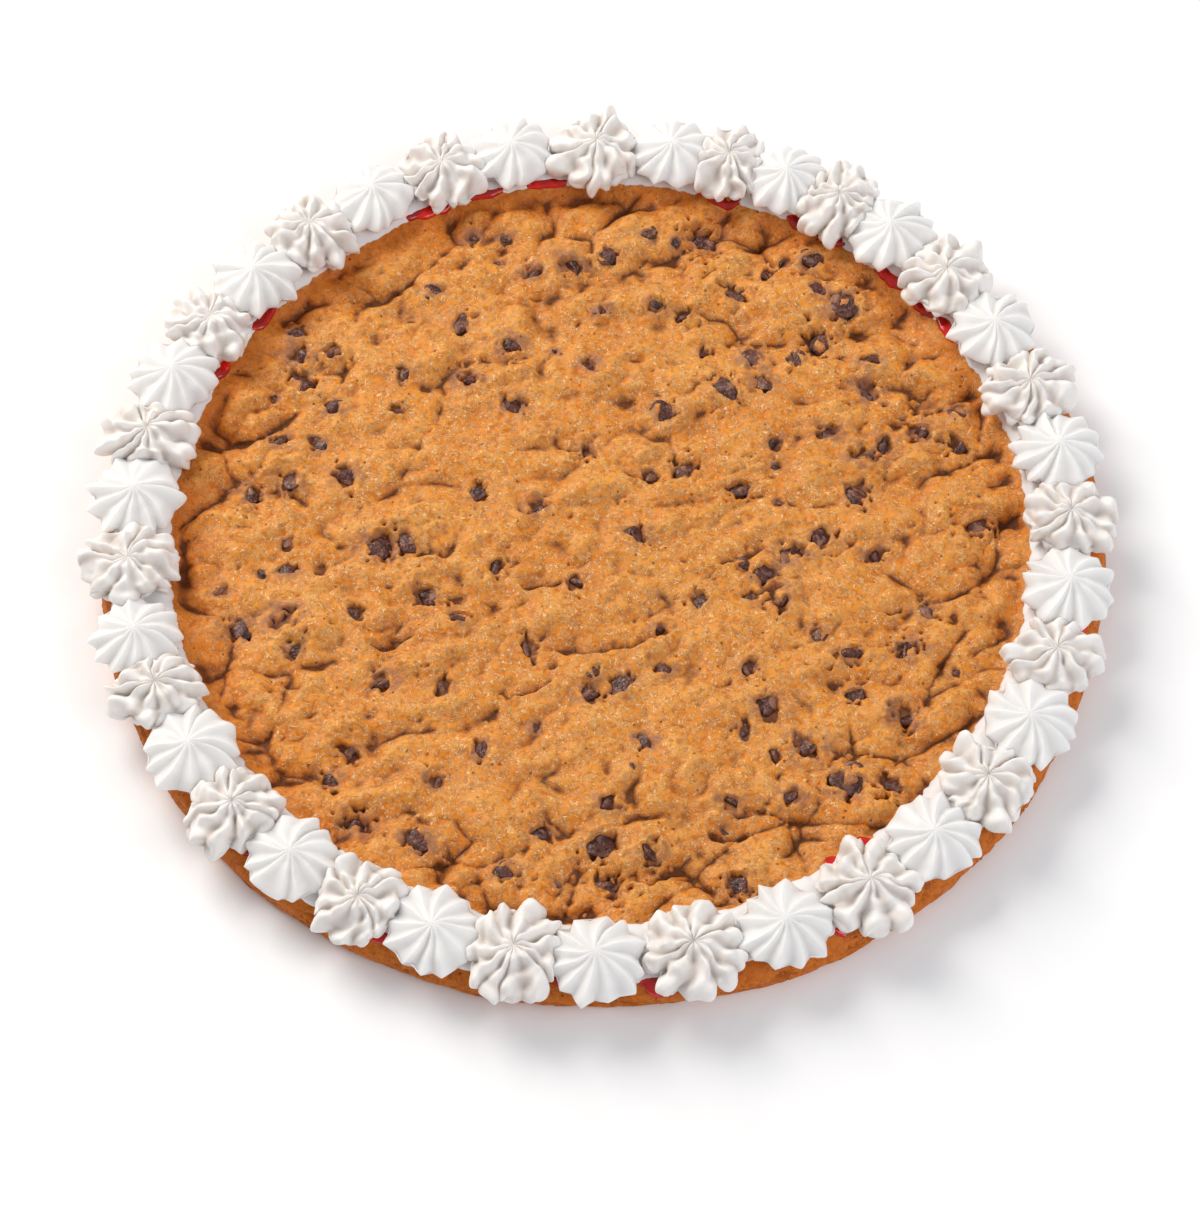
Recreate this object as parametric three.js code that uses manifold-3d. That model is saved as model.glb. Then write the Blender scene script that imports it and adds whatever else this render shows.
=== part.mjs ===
// A 12 inch chocolate chip cookie cake: one thick round cookie with chocolate chips baked into its top,
// a ring of red icing gel and a band of white icing laid on the level margin near its edge, and 38 piped
// rosettes of whipped icing standing on the band. Crisp and soft rosettes take turns round the ring.
// Millimetres, +Z up. The origin is at the centre of the cookie's underside, and -Y faces the viewer.

import * as THREE from "three";
import { mergeVertices } from "three/addons/utils/BufferGeometryUtils.js";
import Module from "manifold-3d";

// The cookie
const COOKIE_RADIUS = 150.3;
const CENTRE_HEIGHT = 11.3;
const MARGIN_HEIGHT = 10;
const RELIEF_RADIUS = 120;
const MARGIN_RADIUS = 126;
const RELIEF_RINGS = 16;
const EDGE_WAVE = 0.9;
const EDGE_LEAN = 0.7;
const EDGE_LEAN_ANGLE = THREE.MathUtils.degToRad(-23);
// Its side from the level margin down: [inset from the radius, share of the margin's height, share of the wave]
const SIDE_SECTION = [[4.6, 1, 0], [1.5, 0.82, 1], [0.2, 0.5, 1], [0.9, 0.16, 0.8], [3, 0, 0.2]];

// The lumps of dough that its top is made of
const LUMP_LENGTH = 33;
const LUMP_WIDTH = 20;
const LUMP_TURN = THREE.MathUtils.degToRad(18);
const LUMP_BULGE = 8.5;
const LUMP_LIFT = 1.8;
const LUMP_BLEND = 0.42;
const LUMP_REACH = 10;
const LUMP_SHAKE = 0.5;
// The slow waves that bend the rows of lumps: [size, turns along x, turns along y, start]
const BENDS_X = [[3.2, 0, 0.083, 0.7], [1.9, 0.151, -0.11, 0]];
const BENDS_Y = [[3.0, 0.071, 0, 1.9], [1.7, 0.093, 0.137, 0]];
const CALM_SHARE = 0.55;

// The chips: those that show most, as [x, y, width], and the rest spread on a spiral
const MAIN_CHIPS = [
  [32, 109, 7.7], [76, 85, 8.3], [68, 71, 8.3], [-93, 56, 8.9], [37, 50, 8.3], [-75, 21, 7.1],
  [26, 23, 7.1], [98, 40, 7.7], [80, 27, 7.7], [76, 16, 7.7], [112, 6, 7.7], [58, -7, 8.3],
  [-66, -4, 8.3], [54, -19, 8.9], [-105, -29, 7.1], [-95, -26, 7.1], [7, -51, 7.1], [91, -39, 7.7],
  [48, -57, 7.1], [61, -69, 7.7], [72, -80, 8.9], [85, -81, 7.1], [-70, -96, 7.7], [0, -100, 8.9],
  [1, -115, 7.7], [40, -113, 7.1],
];
const SPREAD_CHIPS = 58;
const SPREAD_RADIUS = 115;
const SPREAD_SHIFT = 5;
const SMALL_CHIP = 4.4;
const LARGE_CHIP = 6.6;
const CHIP_CLEARANCE = 11;
const CHIP_TILT = 0.35;
const CHIP_SIDES = 6;
const CHIP_SINK = 0.05;
// A squat drop, as [share of its width, height over its widest level as a share of its width]
const CHIP_PROFILE = [[0, -0.28], [0.5, 0], [0, 0.29]];

// The gel and the band of icing
const LAYER_GAP = 0.3;
const GEL_HEIGHT = 0.7;
const GEL_INNER_RADIUS = 129.6;
const GEL_OUTER_RADIUS = 145.2;
const GEL_PEEP_IN = 3;
const GEL_PEEP_OUT = 1.6;
const GEL_SHOWS_INSIDE = [23, 34, 40, 46, 57, 62, 73, 97, 113, 143, -54, -59].map(THREE.MathUtils.degToRad);
const GEL_SHOWS_OUTSIDE = [-12, -60, -82, -94, -114, -135, -146, -173].map(THREE.MathUtils.degToRad);
const GEL_PEEP_ARC = THREE.MathUtils.degToRad(3.2);
const BAND_HEIGHT = 1.5;
const BAND_INNER_RADIUS = 128.2;
const BAND_OUTER_RADIUS = 145.6;
const BORDER_SWAY = 0.9;
const BAND_SMEAR = 2.2;
const BAND_SMEAR_ANGLE = THREE.MathUtils.degToRad(-42);
const BAND_SMEAR_ARC = THREE.MathUtils.degToRad(20);
const BAND_WAVE = 0.9;
const RING_STEPS = 90;

// The rosettes
const ROSETTE_RING_RADIUS = 139.8;
const ROSETTE_RING_WANDER = 1.6;
const ROSETTE_HEIGHT = 9;
const ROSETTE_SIZE_SPREAD = 0.08;
const ROSETTE_HEIGHT_SPREAD = 0.12;
// From the foot out to the belly and in to the tip: [share of the radius, share of the height]
const ROSETTE_PROFILE = [[0, 0], [0.86, 0], [1, 0.3], [0.68, 0.74], [0, 1]];
const ROSETTE_START_ANGLE = 90.6;
// How the hand that piped them went round: so many rosettes, so many degrees apart
const ROSETTE_STRETCHES = [
  { count: 1, pitch: 9.9 },
  { count: 4, pitch: 7.7 },
  { count: 11, pitch: 9.73 },
  { count: 3, pitch: 11.1 },
  { count: 7, pitch: 9.51 },
  { count: 1, pitch: 7.7 },
  { count: 2, pitch: 9.85 },
  { count: 4, pitch: 8.95 },
  { count: 4, pitch: 9.63 },
];
const CRISP = { radius: 14.4, lobes: 12, grooveDepth: 0.14, turn: 0.15, color: 0xf4f2ef, roughness: 0.42 };
const SOFT = { radius: 15.4, lobes: 11, grooveDepth: 0.17, turn: 0.1, color: 0xe6e2de, roughness: 0.5 };

const doughMaterial = new THREE.MeshStandardMaterial({ color: 0xc98642, roughness: 0.72, metalness: 0 });
const gelMaterial = new THREE.MeshStandardMaterial({ color: 0xb3120f, roughness: 0.18, metalness: 0 });
const bandMaterial = new THREE.MeshStandardMaterial({ color: 0xdedadb, roughness: 0.5, metalness: 0 });

// A repeatable draw from 0 to 1 for a whole number and a purpose.
function draw(number, purpose) {
  const wave = Math.sin(number * 127.1 + purpose * 311.7) * 43758.5453;
  return wave - Math.floor(wave);
}

// The smallest turn between two angles, without its sign.
function angleBetween(a, b) {
  return Math.abs(Math.atan2(Math.sin(a - b), Math.cos(a - b)));
}

// The lumps of dough, as centres with the height by which each stands above the others.
function doughLumps() {
  const lumps = [];
  for (let row = -LUMP_REACH; row <= LUMP_REACH; row += 1) {
    for (let column = -LUMP_REACH; column <= LUMP_REACH; column += 1) {
      const number = row * 40 + column;
      const stagger = 0.5 * Math.abs(row % 2);
      const along = (column + stagger + LUMP_SHAKE * (draw(number, 1) - 0.5)) * LUMP_LENGTH;
      const across = (row + LUMP_SHAKE * (draw(number, 2) - 0.5)) * LUMP_WIDTH;
      lumps.push({ along, across, lift: LUMP_LIFT * (draw(number, 3) - 0.5) });
    }
  }
  return lumps;
}

const lumps = doughLumps();

// How far a set of slow waves shifts a point.
function bend(x, y, waves) {
  return waves.reduce((sum, [size, alongX, alongY, start]) => {
    return sum + size * Math.sin(alongX * x + alongY * y + start);
  }, 0);
}

// The height that the lumps add at a point: a smooth maximum of long domes.
function lumpHeight(x, y) {
  const bentX = x + bend(x, y, BENDS_X);
  const bentY = y + bend(x, y, BENDS_Y);
  const along = bentX * Math.cos(LUMP_TURN) + bentY * Math.sin(LUMP_TURN);
  const across = bentY * Math.cos(LUMP_TURN) - bentX * Math.sin(LUMP_TURN);
  let sum = 0;
  for (const lump of lumps) {
    const a = (along - lump.along) / LUMP_LENGTH;
    const b = (across - lump.across) / LUMP_WIDTH;
    sum += Math.exp((lump.lift - LUMP_BULGE * (a * a + b * b)) / LUMP_BLEND);
  }
  return LUMP_BLEND * Math.log(sum);
}

// The cookie's top inside the margin. The lumps are calmer in the middle and die out at the margin.
function topHeight(x, y) {
  const radius = Math.hypot(x, y);
  const share = radius / MARGIN_RADIUS;
  const dome = CENTRE_HEIGHT + (MARGIN_HEIGHT - CENTRE_HEIGHT) * share * share;
  const liveliness = CALM_SHARE + (1 - CALM_SHARE) * THREE.MathUtils.smoothstep(share, 0.35, 0.85);
  const fade = 1 - THREE.MathUtils.smoothstep(radius, RELIEF_RADIUS - 8, MARGIN_RADIUS);
  return dome + lumpHeight(x, y) * liveliness * fade;
}

// How far the cookie's edge stands out of a true circle at an angle.
function edgeWave(angle) {
  const wave = Math.sin(5 * angle + 0.4) + 0.7 * Math.sin(11 * angle + 2.1) + 0.5 * Math.sin(23 * angle + 4);
  return (EDGE_WAVE * wave) / 2.2 + EDGE_LEAN * Math.cos(angle - EDGE_LEAN_ANGLE);
}

// The rings of the cookie's outside, from the end of the relief out and down to the foot.
function sideRings() {
  const side = SIDE_SECTION.map(([inset, share, wave]) => {
    return { radius: COOKIE_RADIUS - inset, height: MARGIN_HEIGHT * share, wave };
  });
  return [{ radius: MARGIN_RADIUS, height: MARGIN_HEIGHT, wave: 0 }, ...side];
}

// Adds the triangles between ring `ring - 1` and ring `ring` of a disc whose ring n has 6n points.
function addDiscRing(faces, ring) {
  const inner = ring === 1 ? 0 : 1 + 3 * (ring - 1) * (ring - 2);
  const outer = 1 + 3 * ring * (ring - 1);
  const innerCount = Math.max(1, 6 * (ring - 1));
  for (let side = 0; side < 6; side += 1) {
    for (let step = 0; step < ring; step += 1) {
      const a = inner + ((side * (ring - 1) + step) % innerCount);
      const b = outer + ((side * ring + step) % (6 * ring));
      const c = outer + ((side * ring + step + 1) % (6 * ring));
      faces.push(a, b, c);
      if (step < ring - 1) faces.push(a, c, inner + ((side * (ring - 1) + step + 1) % innerCount));
    }
  }
}

// The bare cookie: a disc of even triangles for the relief, then rings for the side, then a flat foot.
function cookieGeometry() {
  const points = [0, 0, topHeight(0, 0)];
  const faces = [];
  const around = 6 * RELIEF_RINGS;
  for (let ring = 1; ring <= RELIEF_RINGS; ring += 1) {
    const radius = (RELIEF_RADIUS * ring) / RELIEF_RINGS;
    for (let step = 0; step < 6 * ring; step += 1) {
      const angle = (2 * Math.PI * step) / (6 * ring);
      const x = radius * Math.cos(angle);
      const y = radius * Math.sin(angle);
      points.push(x, y, topHeight(x, y));
    }
    addDiscRing(faces, ring);
  }
  let previous = points.length / 3 - around;
  for (const level of sideRings()) {
    const start = points.length / 3;
    for (let step = 0; step < around; step += 1) {
      const angle = (2 * Math.PI * step) / around;
      const radius = level.radius + level.wave * edgeWave(angle);
      points.push(radius * Math.cos(angle), radius * Math.sin(angle), level.height);
      const next = (step + 1) % around;
      faces.push(previous + step, start + step, start + next);
      faces.push(previous + step, start + next, previous + next);
    }
    previous = start;
  }
  for (let step = 1; step < around - 1; step += 1) faces.push(previous, previous + step + 1, previous + step);
  return indexedGeometry(points, faces);
}

function indexedGeometry(points, faces) {
  const geometry = new THREE.BufferGeometry();
  geometry.setAttribute("position", new THREE.Float32BufferAttribute(points, 3));
  geometry.setIndex(faces);
  geometry.computeVertexNormals();
  return geometry;
}

// Where every chip lies, with its width: the main ones, then a sunflower spiral that keeps clear of them.
function chipPlaces() {
  const places = MAIN_CHIPS.map(([x, y, width]) => ({ x, y, width }));
  const goldenAngle = Math.PI * (3 - Math.sqrt(5));
  for (let number = 0; number < SPREAD_CHIPS; number += 1) {
    const radius = SPREAD_RADIUS * Math.sqrt((number + 0.5) / SPREAD_CHIPS);
    const angle = number * goldenAngle;
    const x = radius * Math.cos(angle) + SPREAD_SHIFT * (2 * draw(number, 4) - 1);
    const y = radius * Math.sin(angle) + SPREAD_SHIFT * (2 * draw(number, 5) - 1);
    const width = SMALL_CHIP + (LARGE_CHIP - SMALL_CHIP) * draw(number, 6);
    const crowded = places.some((other) => Math.hypot(x - other.x, y - other.y) < CHIP_CLEARANCE);
    if (!crowded && Math.hypot(x, y) < SPREAD_RADIUS) places.push({ x, y, width });
  }
  return places;
}

// One chip: a squat drop, tilted a little, sunk to its widest level in the dough.
function chipGeometry({ x, y, width }, number) {
  const profile = CHIP_PROFILE.map(([out, up]) => new THREE.Vector2(out * width, up * width));
  const geometry = new THREE.LatheGeometry(profile, CHIP_SIDES);
  geometry.rotateX(Math.PI / 2 + CHIP_TILT * (draw(number, 7) - 0.5));
  geometry.rotateZ(2 * Math.PI * draw(number, 8));
  geometry.translate(x, y, topHeight(x, y) - CHIP_SINK * width);
  return geometry;
}

const wasm = await Module();
wasm.setup();

function solidFrom(geometry) {
  const bare = new THREE.BufferGeometry();
  bare.setAttribute("position", geometry.getAttribute("position").clone());
  bare.setIndex(geometry.getIndex());
  const merged = mergeVertices(bare, 1e-4);
  const mesh = new wasm.Mesh({
    numProp: 3,
    vertProperties: merged.getAttribute("position").array,
    triVerts: new Uint32Array(merged.getIndex().array),
  });
  return new wasm.Manifold(mesh);
}

function geometryFrom(solid) {
  const mesh = solid.getMesh();
  return indexedGeometry(Array.from(mesh.vertProperties), Array.from(mesh.triVerts));
}

function cookieWithChips() {
  let solid = solidFrom(cookieGeometry());
  chipPlaces().forEach((place, number) => {
    solid = solid.add(solidFrom(chipGeometry(place, number)));
  });
  return geometryFrom(solid);
}

// A closed ring with a four-cornered section that changes with the angle.
// `sectionAt(angle)` gives { inner, outer, low, high }.
function ringGeometry(sectionAt) {
  const points = [];
  const faces = [];
  for (let step = 0; step < RING_STEPS; step += 1) {
    const angle = (2 * Math.PI * step) / RING_STEPS;
    const { inner, outer, low, high } = sectionAt(angle);
    const corners = [[inner, low], [outer, low], [outer, high], [inner, high]];
    for (const [radius, height] of corners) {
      points.push(radius * Math.cos(angle), radius * Math.sin(angle), height);
    }
    const here = 4 * step;
    const next = 4 * ((step + 1) % RING_STEPS);
    for (let corner = 0; corner < 4; corner += 1) {
      const after = (corner + 1) % 4;
      faces.push(here + corner, next + corner, next + after);
      faces.push(here + corner, next + after, here + after);
    }
  }
  return indexedGeometry(points, faces);
}

// How much of a peep of gel shows at an angle, from 0 to 1.
function peepAt(angle, places) {
  const nearest = Math.min(...places.map((place) => angleBetween(angle, place)));
  return Math.exp(-((nearest / GEL_PEEP_ARC) ** 2));
}

// The gel's section, or with a margin the room that it takes in the band over it.
function gelSection(angle, margin = 0) {
  const inner = GEL_INNER_RADIUS + BORDER_SWAY * Math.sin(angle);
  return {
    inner: inner - GEL_PEEP_IN * peepAt(angle, GEL_SHOWS_INSIDE) - margin,
    outer: GEL_OUTER_RADIUS + GEL_PEEP_OUT * peepAt(angle, GEL_SHOWS_OUTSIDE) + margin,
    low: MARGIN_HEIGHT + LAYER_GAP - margin,
    high: MARGIN_HEIGHT + LAYER_GAP + GEL_HEIGHT + margin,
  };
}

// The band is laid level, wavy at its rims, wider at the front, and smeared inwards at the front right.
function bandSection(angle) {
  const smear = BAND_SMEAR * Math.exp(-((angleBetween(angle, BAND_SMEAR_ANGLE) / BAND_SMEAR_ARC) ** 2));
  const inner = BAND_INNER_RADIUS + BORDER_SWAY * Math.sin(angle);
  return {
    inner: inner - smear + BAND_WAVE * Math.sin(19 * angle),
    outer: BAND_OUTER_RADIUS + BAND_WAVE * Math.sin(17 * angle + 1),
    low: MARGIN_HEIGHT + LAYER_GAP,
    high: MARGIN_HEIGHT + LAYER_GAP + BAND_HEIGHT,
  };
}

function bandOverGel() {
  const band = solidFrom(ringGeometry(bandSection));
  const gel = solidFrom(ringGeometry((angle) => gelSection(angle, LAYER_GAP)));
  return geometryFrom(band.subtract(gel));
}

// Where each rosette stands on the ring, in radians, going clockwise from the back.
function rosetteAngles() {
  const angles = [ROSETTE_START_ANGLE];
  for (const { count, pitch } of ROSETTE_STRETCHES) {
    for (let step = 0; step < count; step += 1) angles.push(angles.at(-1) - pitch);
  }
  return angles.map(THREE.MathUtils.degToRad);
}

// A rosette on its own: a lathed bun whose ridges stand out between grooves and swirl a little to the tip.
function rosetteGeometry(kind, number) {
  const radius = kind.radius * (1 + ROSETTE_SIZE_SPREAD * (draw(number, 9) - 0.5));
  const height = ROSETTE_HEIGHT * (1 + ROSETTE_HEIGHT_SPREAD * (draw(number, 10) - 0.5));
  const profile = ROSETTE_PROFILE.map(([out, up]) => new THREE.Vector2(out * radius, up * height));
  const geometry = new THREE.LatheGeometry(profile, 2 * kind.lobes);
  geometry.rotateX(Math.PI / 2);
  const position = geometry.getAttribute("position");
  for (let index = 0; index < position.count; index += 1) {
    const x = position.getX(index);
    const y = position.getY(index);
    const share = position.getZ(index) / height;
    const angle = Math.atan2(x, -y);
    const groove = (1 - Math.cos(kind.lobes * angle)) / 2;
    const reach = Math.hypot(x, y) * (1 - kind.grooveDepth * groove);
    const turned = angle + kind.turn * share;
    position.setXY(index, reach * Math.cos(turned), reach * Math.sin(turned));
  }
  geometry.rotateZ(2 * Math.PI * draw(number, 11));
  return geometry;
}

// The wedge of the ring that belongs to one rosette, from half way to one neighbour to half way to the other.
function wedgeGeometry(from, to) {
  const reach = COOKIE_RADIUS * 1.3;
  const cut = new THREE.Shape([
    new THREE.Vector2(0, 0),
    new THREE.Vector2(reach * Math.cos(from), reach * Math.sin(from)),
    new THREE.Vector2(reach * Math.cos(to), reach * Math.sin(to)),
  ]);
  return new THREE.ExtrudeGeometry(cut, { depth: 4 * ROSETTE_HEIGHT, bevelEnabled: false });
}

// Rosettes piped this close press against each other, so each is trimmed flat where it meets the next.
function rosetteMesh(angles, number) {
  const kind = number % 2 === 0 ? SOFT : CRISP;
  const count = angles.length;
  const here = angles[number];
  const before = angles[(number + count - 1) % count];
  const after = angles[(number + 1) % count];
  const gapAngle = LAYER_GAP / 2 / ROSETTE_RING_RADIUS;
  const shape = rosetteGeometry(kind, number);
  const ringRadius = ROSETTE_RING_RADIUS + ROSETTE_RING_WANDER * (draw(number, 12) - 0.5);
  const foot = MARGIN_HEIGHT + BAND_HEIGHT + 2 * LAYER_GAP;
  shape.translate(ringRadius * Math.cos(here), ringRadius * Math.sin(here), foot);
  const wedge = wedgeGeometry(here - angleBetween(here, after) / 2 + gapAngle,
    here + angleBetween(here, before) / 2 - gapAngle);
  const trimmed = solidFrom(shape).intersect(solidFrom(wedge));
  const material = new THREE.MeshStandardMaterial({ color: kind.color, roughness: kind.roughness, metalness: 0 });
  return namedMesh(`rosette_${String(number + 1).padStart(2, "0")}`, geometryFrom(trimmed), material);
}

function namedMesh(name, geometry, material) {
  const mesh = new THREE.Mesh(geometry, material);
  mesh.name = name;
  return mesh;
}

const cookieCake = new THREE.Group();
cookieCake.add(namedMesh("cookie", cookieWithChips(), doughMaterial));
cookieCake.add(namedMesh("gel_ring", ringGeometry(gelSection), gelMaterial));
cookieCake.add(namedMesh("icing_band", bandOverGel(), bandMaterial));

const angles = rosetteAngles();
angles.forEach((angle, number) => cookieCake.add(rosetteMesh(angles, number)));

export default cookieCake;
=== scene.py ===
"""Looks for a chocolate chip cookie cake with a piped icing border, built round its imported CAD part."""

import logging
import math
from dataclasses import dataclass, field
from enum import Enum

import bpy
import numpy as np
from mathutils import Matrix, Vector


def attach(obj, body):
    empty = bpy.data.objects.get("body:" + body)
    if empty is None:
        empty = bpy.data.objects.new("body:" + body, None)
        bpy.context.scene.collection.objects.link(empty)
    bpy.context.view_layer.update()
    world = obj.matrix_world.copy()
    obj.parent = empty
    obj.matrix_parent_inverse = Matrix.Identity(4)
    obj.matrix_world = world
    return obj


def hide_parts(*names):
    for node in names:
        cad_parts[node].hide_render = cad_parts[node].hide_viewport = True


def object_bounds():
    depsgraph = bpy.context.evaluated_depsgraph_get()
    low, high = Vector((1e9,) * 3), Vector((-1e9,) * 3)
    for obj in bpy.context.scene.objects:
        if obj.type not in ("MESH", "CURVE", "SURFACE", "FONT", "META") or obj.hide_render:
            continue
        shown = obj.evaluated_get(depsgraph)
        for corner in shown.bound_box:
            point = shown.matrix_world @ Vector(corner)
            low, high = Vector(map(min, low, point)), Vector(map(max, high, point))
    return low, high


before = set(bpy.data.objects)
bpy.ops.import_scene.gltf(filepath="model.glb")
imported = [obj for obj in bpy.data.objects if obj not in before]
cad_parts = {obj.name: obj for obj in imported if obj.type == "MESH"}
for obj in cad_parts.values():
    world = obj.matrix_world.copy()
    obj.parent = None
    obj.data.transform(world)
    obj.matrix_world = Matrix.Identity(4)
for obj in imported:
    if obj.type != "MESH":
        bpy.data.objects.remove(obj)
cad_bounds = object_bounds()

log = logging.getLogger("cookie_cake")

MM = 0.001
GOLDEN_ANGLE = math.pi * (3 - math.sqrt(5))
BODY = "root"

# How the photograph was taken, in its pixels and in millimetres: found from the ring of rosettes
PHOTO_FOCUS = 3768.2
PHOTO_LONG_SIDE = 1205
PHOTO_RING_CENTRE = (599.7, 527.6)
PHOTO_ELEVATION = math.radians(59)
CAMERA_DISTANCE = 1120.0
RING_LEVEL = 14.8


def draw(number: int, purpose: int) -> float:
    """Gives the repeatable draw from 0 to 1 that the part's source uses too.

    Args:
        number: Which thing the draw is for.
        purpose: What the draw decides.

    Returns:
        A number from 0 to 1.
    """
    wave = math.sin(number * 127.1 + purpose * 311.7) * 43758.5453
    return wave - math.floor(wave)


def smoothstep(value: np.ndarray, low: float, high: float) -> np.ndarray:
    """Rises smoothly from 0 at `low` to 1 at `high`.

    Args:
        value: The numbers to grade.
        low: Where the result is 0.
        high: Where the result is 1.

    Returns:
        The graded numbers.
    """
    share = np.clip((value - low) / (high - low), 0, 1)
    return share * share * (3 - 2 * share)


def angle_between(a: np.ndarray, b: float) -> np.ndarray:
    """Gives the smallest turn between angles, without its sign.

    Args:
        a: Angles in radians.
        b: The angle that they are compared with.

    Returns:
        The turns in radians.
    """
    return np.abs(np.arctan2(np.sin(a - b), np.cos(a - b)))


def polar(radius: np.ndarray | float, angle: np.ndarray) -> tuple[np.ndarray, np.ndarray]:
    """Gives places by their distance and direction from the centre.

    Args:
        radius: How far away each is.
        angle: Its direction, in radians from +X.

    Returns:
        Their x and y.
    """
    return radius * np.cos(angle), radius * np.sin(angle)


def turned(x: np.ndarray | float, y: np.ndarray | float, turn: float) -> tuple[np.ndarray, np.ndarray]:
    """Measures places along a direction and across it.

    Args:
        x: Their x.
        y: Their y.
        turn: The direction, in radians from +X.

    Returns:
        How far along the direction each lies, and how far to its left.
    """
    cosine, sine = math.cos(turn), math.sin(turn)
    return x * cosine + y * sine, y * cosine - x * sine


def photo_place(column: float, row: float, level: float = 11.8) -> tuple[float, float]:
    """Finds the place on the cookie that the photograph shows at a pixel.

    Args:
        column: The pixel's column.
        row: The pixel's row.
        level: The height of the place, in millimetres.

    Returns:
        The place's x and y.
    """
    u = (column - PHOTO_RING_CENTRE[0]) / PHOTO_FOCUS
    v = -(row - PHOTO_RING_CENTRE[1]) / PHOTO_FOCUS
    cosine, sine = math.cos(PHOTO_ELEVATION), math.sin(PHOTO_ELEVATION)
    ray = (u, cosine + v * sine, -sine + v * cosine)
    eye = (0.0, -cosine * CAMERA_DISTANCE, sine * CAMERA_DISTANCE + RING_LEVEL)
    reach = (level - eye[2]) / ray[2]
    return eye[0] + reach * ray[0], eye[1] + reach * ray[1]


def smooth_line(points: list[tuple[float, float]], per_span: int) -> np.ndarray:
    """Runs a smooth curve through a few points.

    Args:
        points: The points that the curve passes.
        per_span: How many steps it takes from one to the next.

    Returns:
        The points of the curve, one a row.
    """
    knots = np.array([points[0], *points, points[-1]], float)
    line = []
    for span in range(len(points) - 1):
        a, b, c, d = knots[span:span + 4]
        for step in range(per_span):
            t = step / per_span
            line.append(0.5 * (2 * b + (c - a) * t + (2 * a - 5 * b + 4 * c - d) * t**2
                               + (3 * b - a - 3 * c + d) * t**3))
    line.append(knots[-1])
    return np.array(line)


@dataclass(frozen=True)
class Noise:
    """Smooth random ups and downs over a plane, from about -1 to 1.

    Args:
        seed: Which pattern.
        size: Millimetres from one bump to the next.
        octaves: How many finer layers, each half as large and as strong as the last.
    """

    seed: int
    size: float
    octaves: int = 1

    def at(self, x: np.ndarray, y: np.ndarray) -> np.ndarray:
        """Gives the noise at each point.

        Args:
            x: First coordinates in millimetres.
            y: Second coordinates in millimetres.

        Returns:
            One number for each point.
        """
        total = np.zeros(np.shape(x))
        for octave in range(self.octaves):
            step = self.size / 2**octave
            total += self._layer(x / step, y / step, self.seed + 31 * octave) / 2**octave
        # The coarsest layer stays within about 0.7 either way, so the sum is stretched
        return 1.45 * total

    @staticmethod
    def _layer(u: np.ndarray, v: np.ndarray, seed: int) -> np.ndarray:
        """Gives one layer of gradient noise.

        Args:
            u: First coordinates, one unit a bump.
            v: Second coordinates, one unit a bump.
            seed: Which pattern.

        Returns:
            One number for each point.
        """
        cells = 256
        turns = 2 * np.pi * np.random.default_rng(seed).random((cells, cells))
        column, row = np.floor(u).astype(int), np.floor(v).astype(int)
        fu, fv = u - column, v - row
        su, sv = (f**3 * (f * (6 * f - 15) + 10) for f in (fu, fv))

        def corner(right: int, up: int) -> np.ndarray:
            """Gives what one corner of each cell adds."""
            turn = turns[(column + right) % cells, (row + up) % cells]
            return np.cos(turn) * (fu - right) + np.sin(turn) * (fv - up)

        low = corner(0, 0) * (1 - su) + corner(1, 0) * su
        high = corner(0, 1) * (1 - su) + corner(1, 1) * su
        return low * (1 - sv) + high * sv


def linear(hex_colour: str) -> tuple[float, float, float, float]:
    """Turns an sRGB hex colour into the linear one that a shader takes.

    Args:
        hex_colour: Six hex digits after a hash sign.

    Returns:
        Red, green, blue and an alpha of 1.
    """
    shares = [int(hex_colour[i:i + 2], 16) / 255 for i in (1, 3, 5)]
    red, green, blue = (s / 12.92 if s <= 0.04045 else ((s + 0.055) / 1.055) ** 2.4 for s in shares)
    return red, green, blue, 1.0


# Where the mix node keeps its colour sockets, which share their names with its other ones
MIX_SHARE, MIX_UNDER, MIX_OVER, MIX_COLOUR = 0, 6, 7, 2


def add_node(tree: bpy.types.NodeTree, kind: str, inputs: dict | None = None, out: int | str = 0,
             **settings: object) -> bpy.types.NodeSocket:
    """Adds a shader node with its settings, and fills its inputs with values or links.

    Args:
        tree: The material's node tree.
        kind: Blender's name for the kind of node.
        inputs: Values or sockets for its inputs, by name or place.
        out: The name or place of the output that is wanted.
        settings: The node's own options.

    Returns:
        The wanted output.
    """
    node = tree.nodes.new(kind)
    for name, value in settings.items():
        setattr(node, name, value)
    for key, value in (inputs or {}).items():
        if isinstance(value, bpy.types.NodeSocket):
            tree.links.new(value, node.inputs[key])
        else:
            node.inputs[key].default_value = value
    return node.outputs[out]


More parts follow.
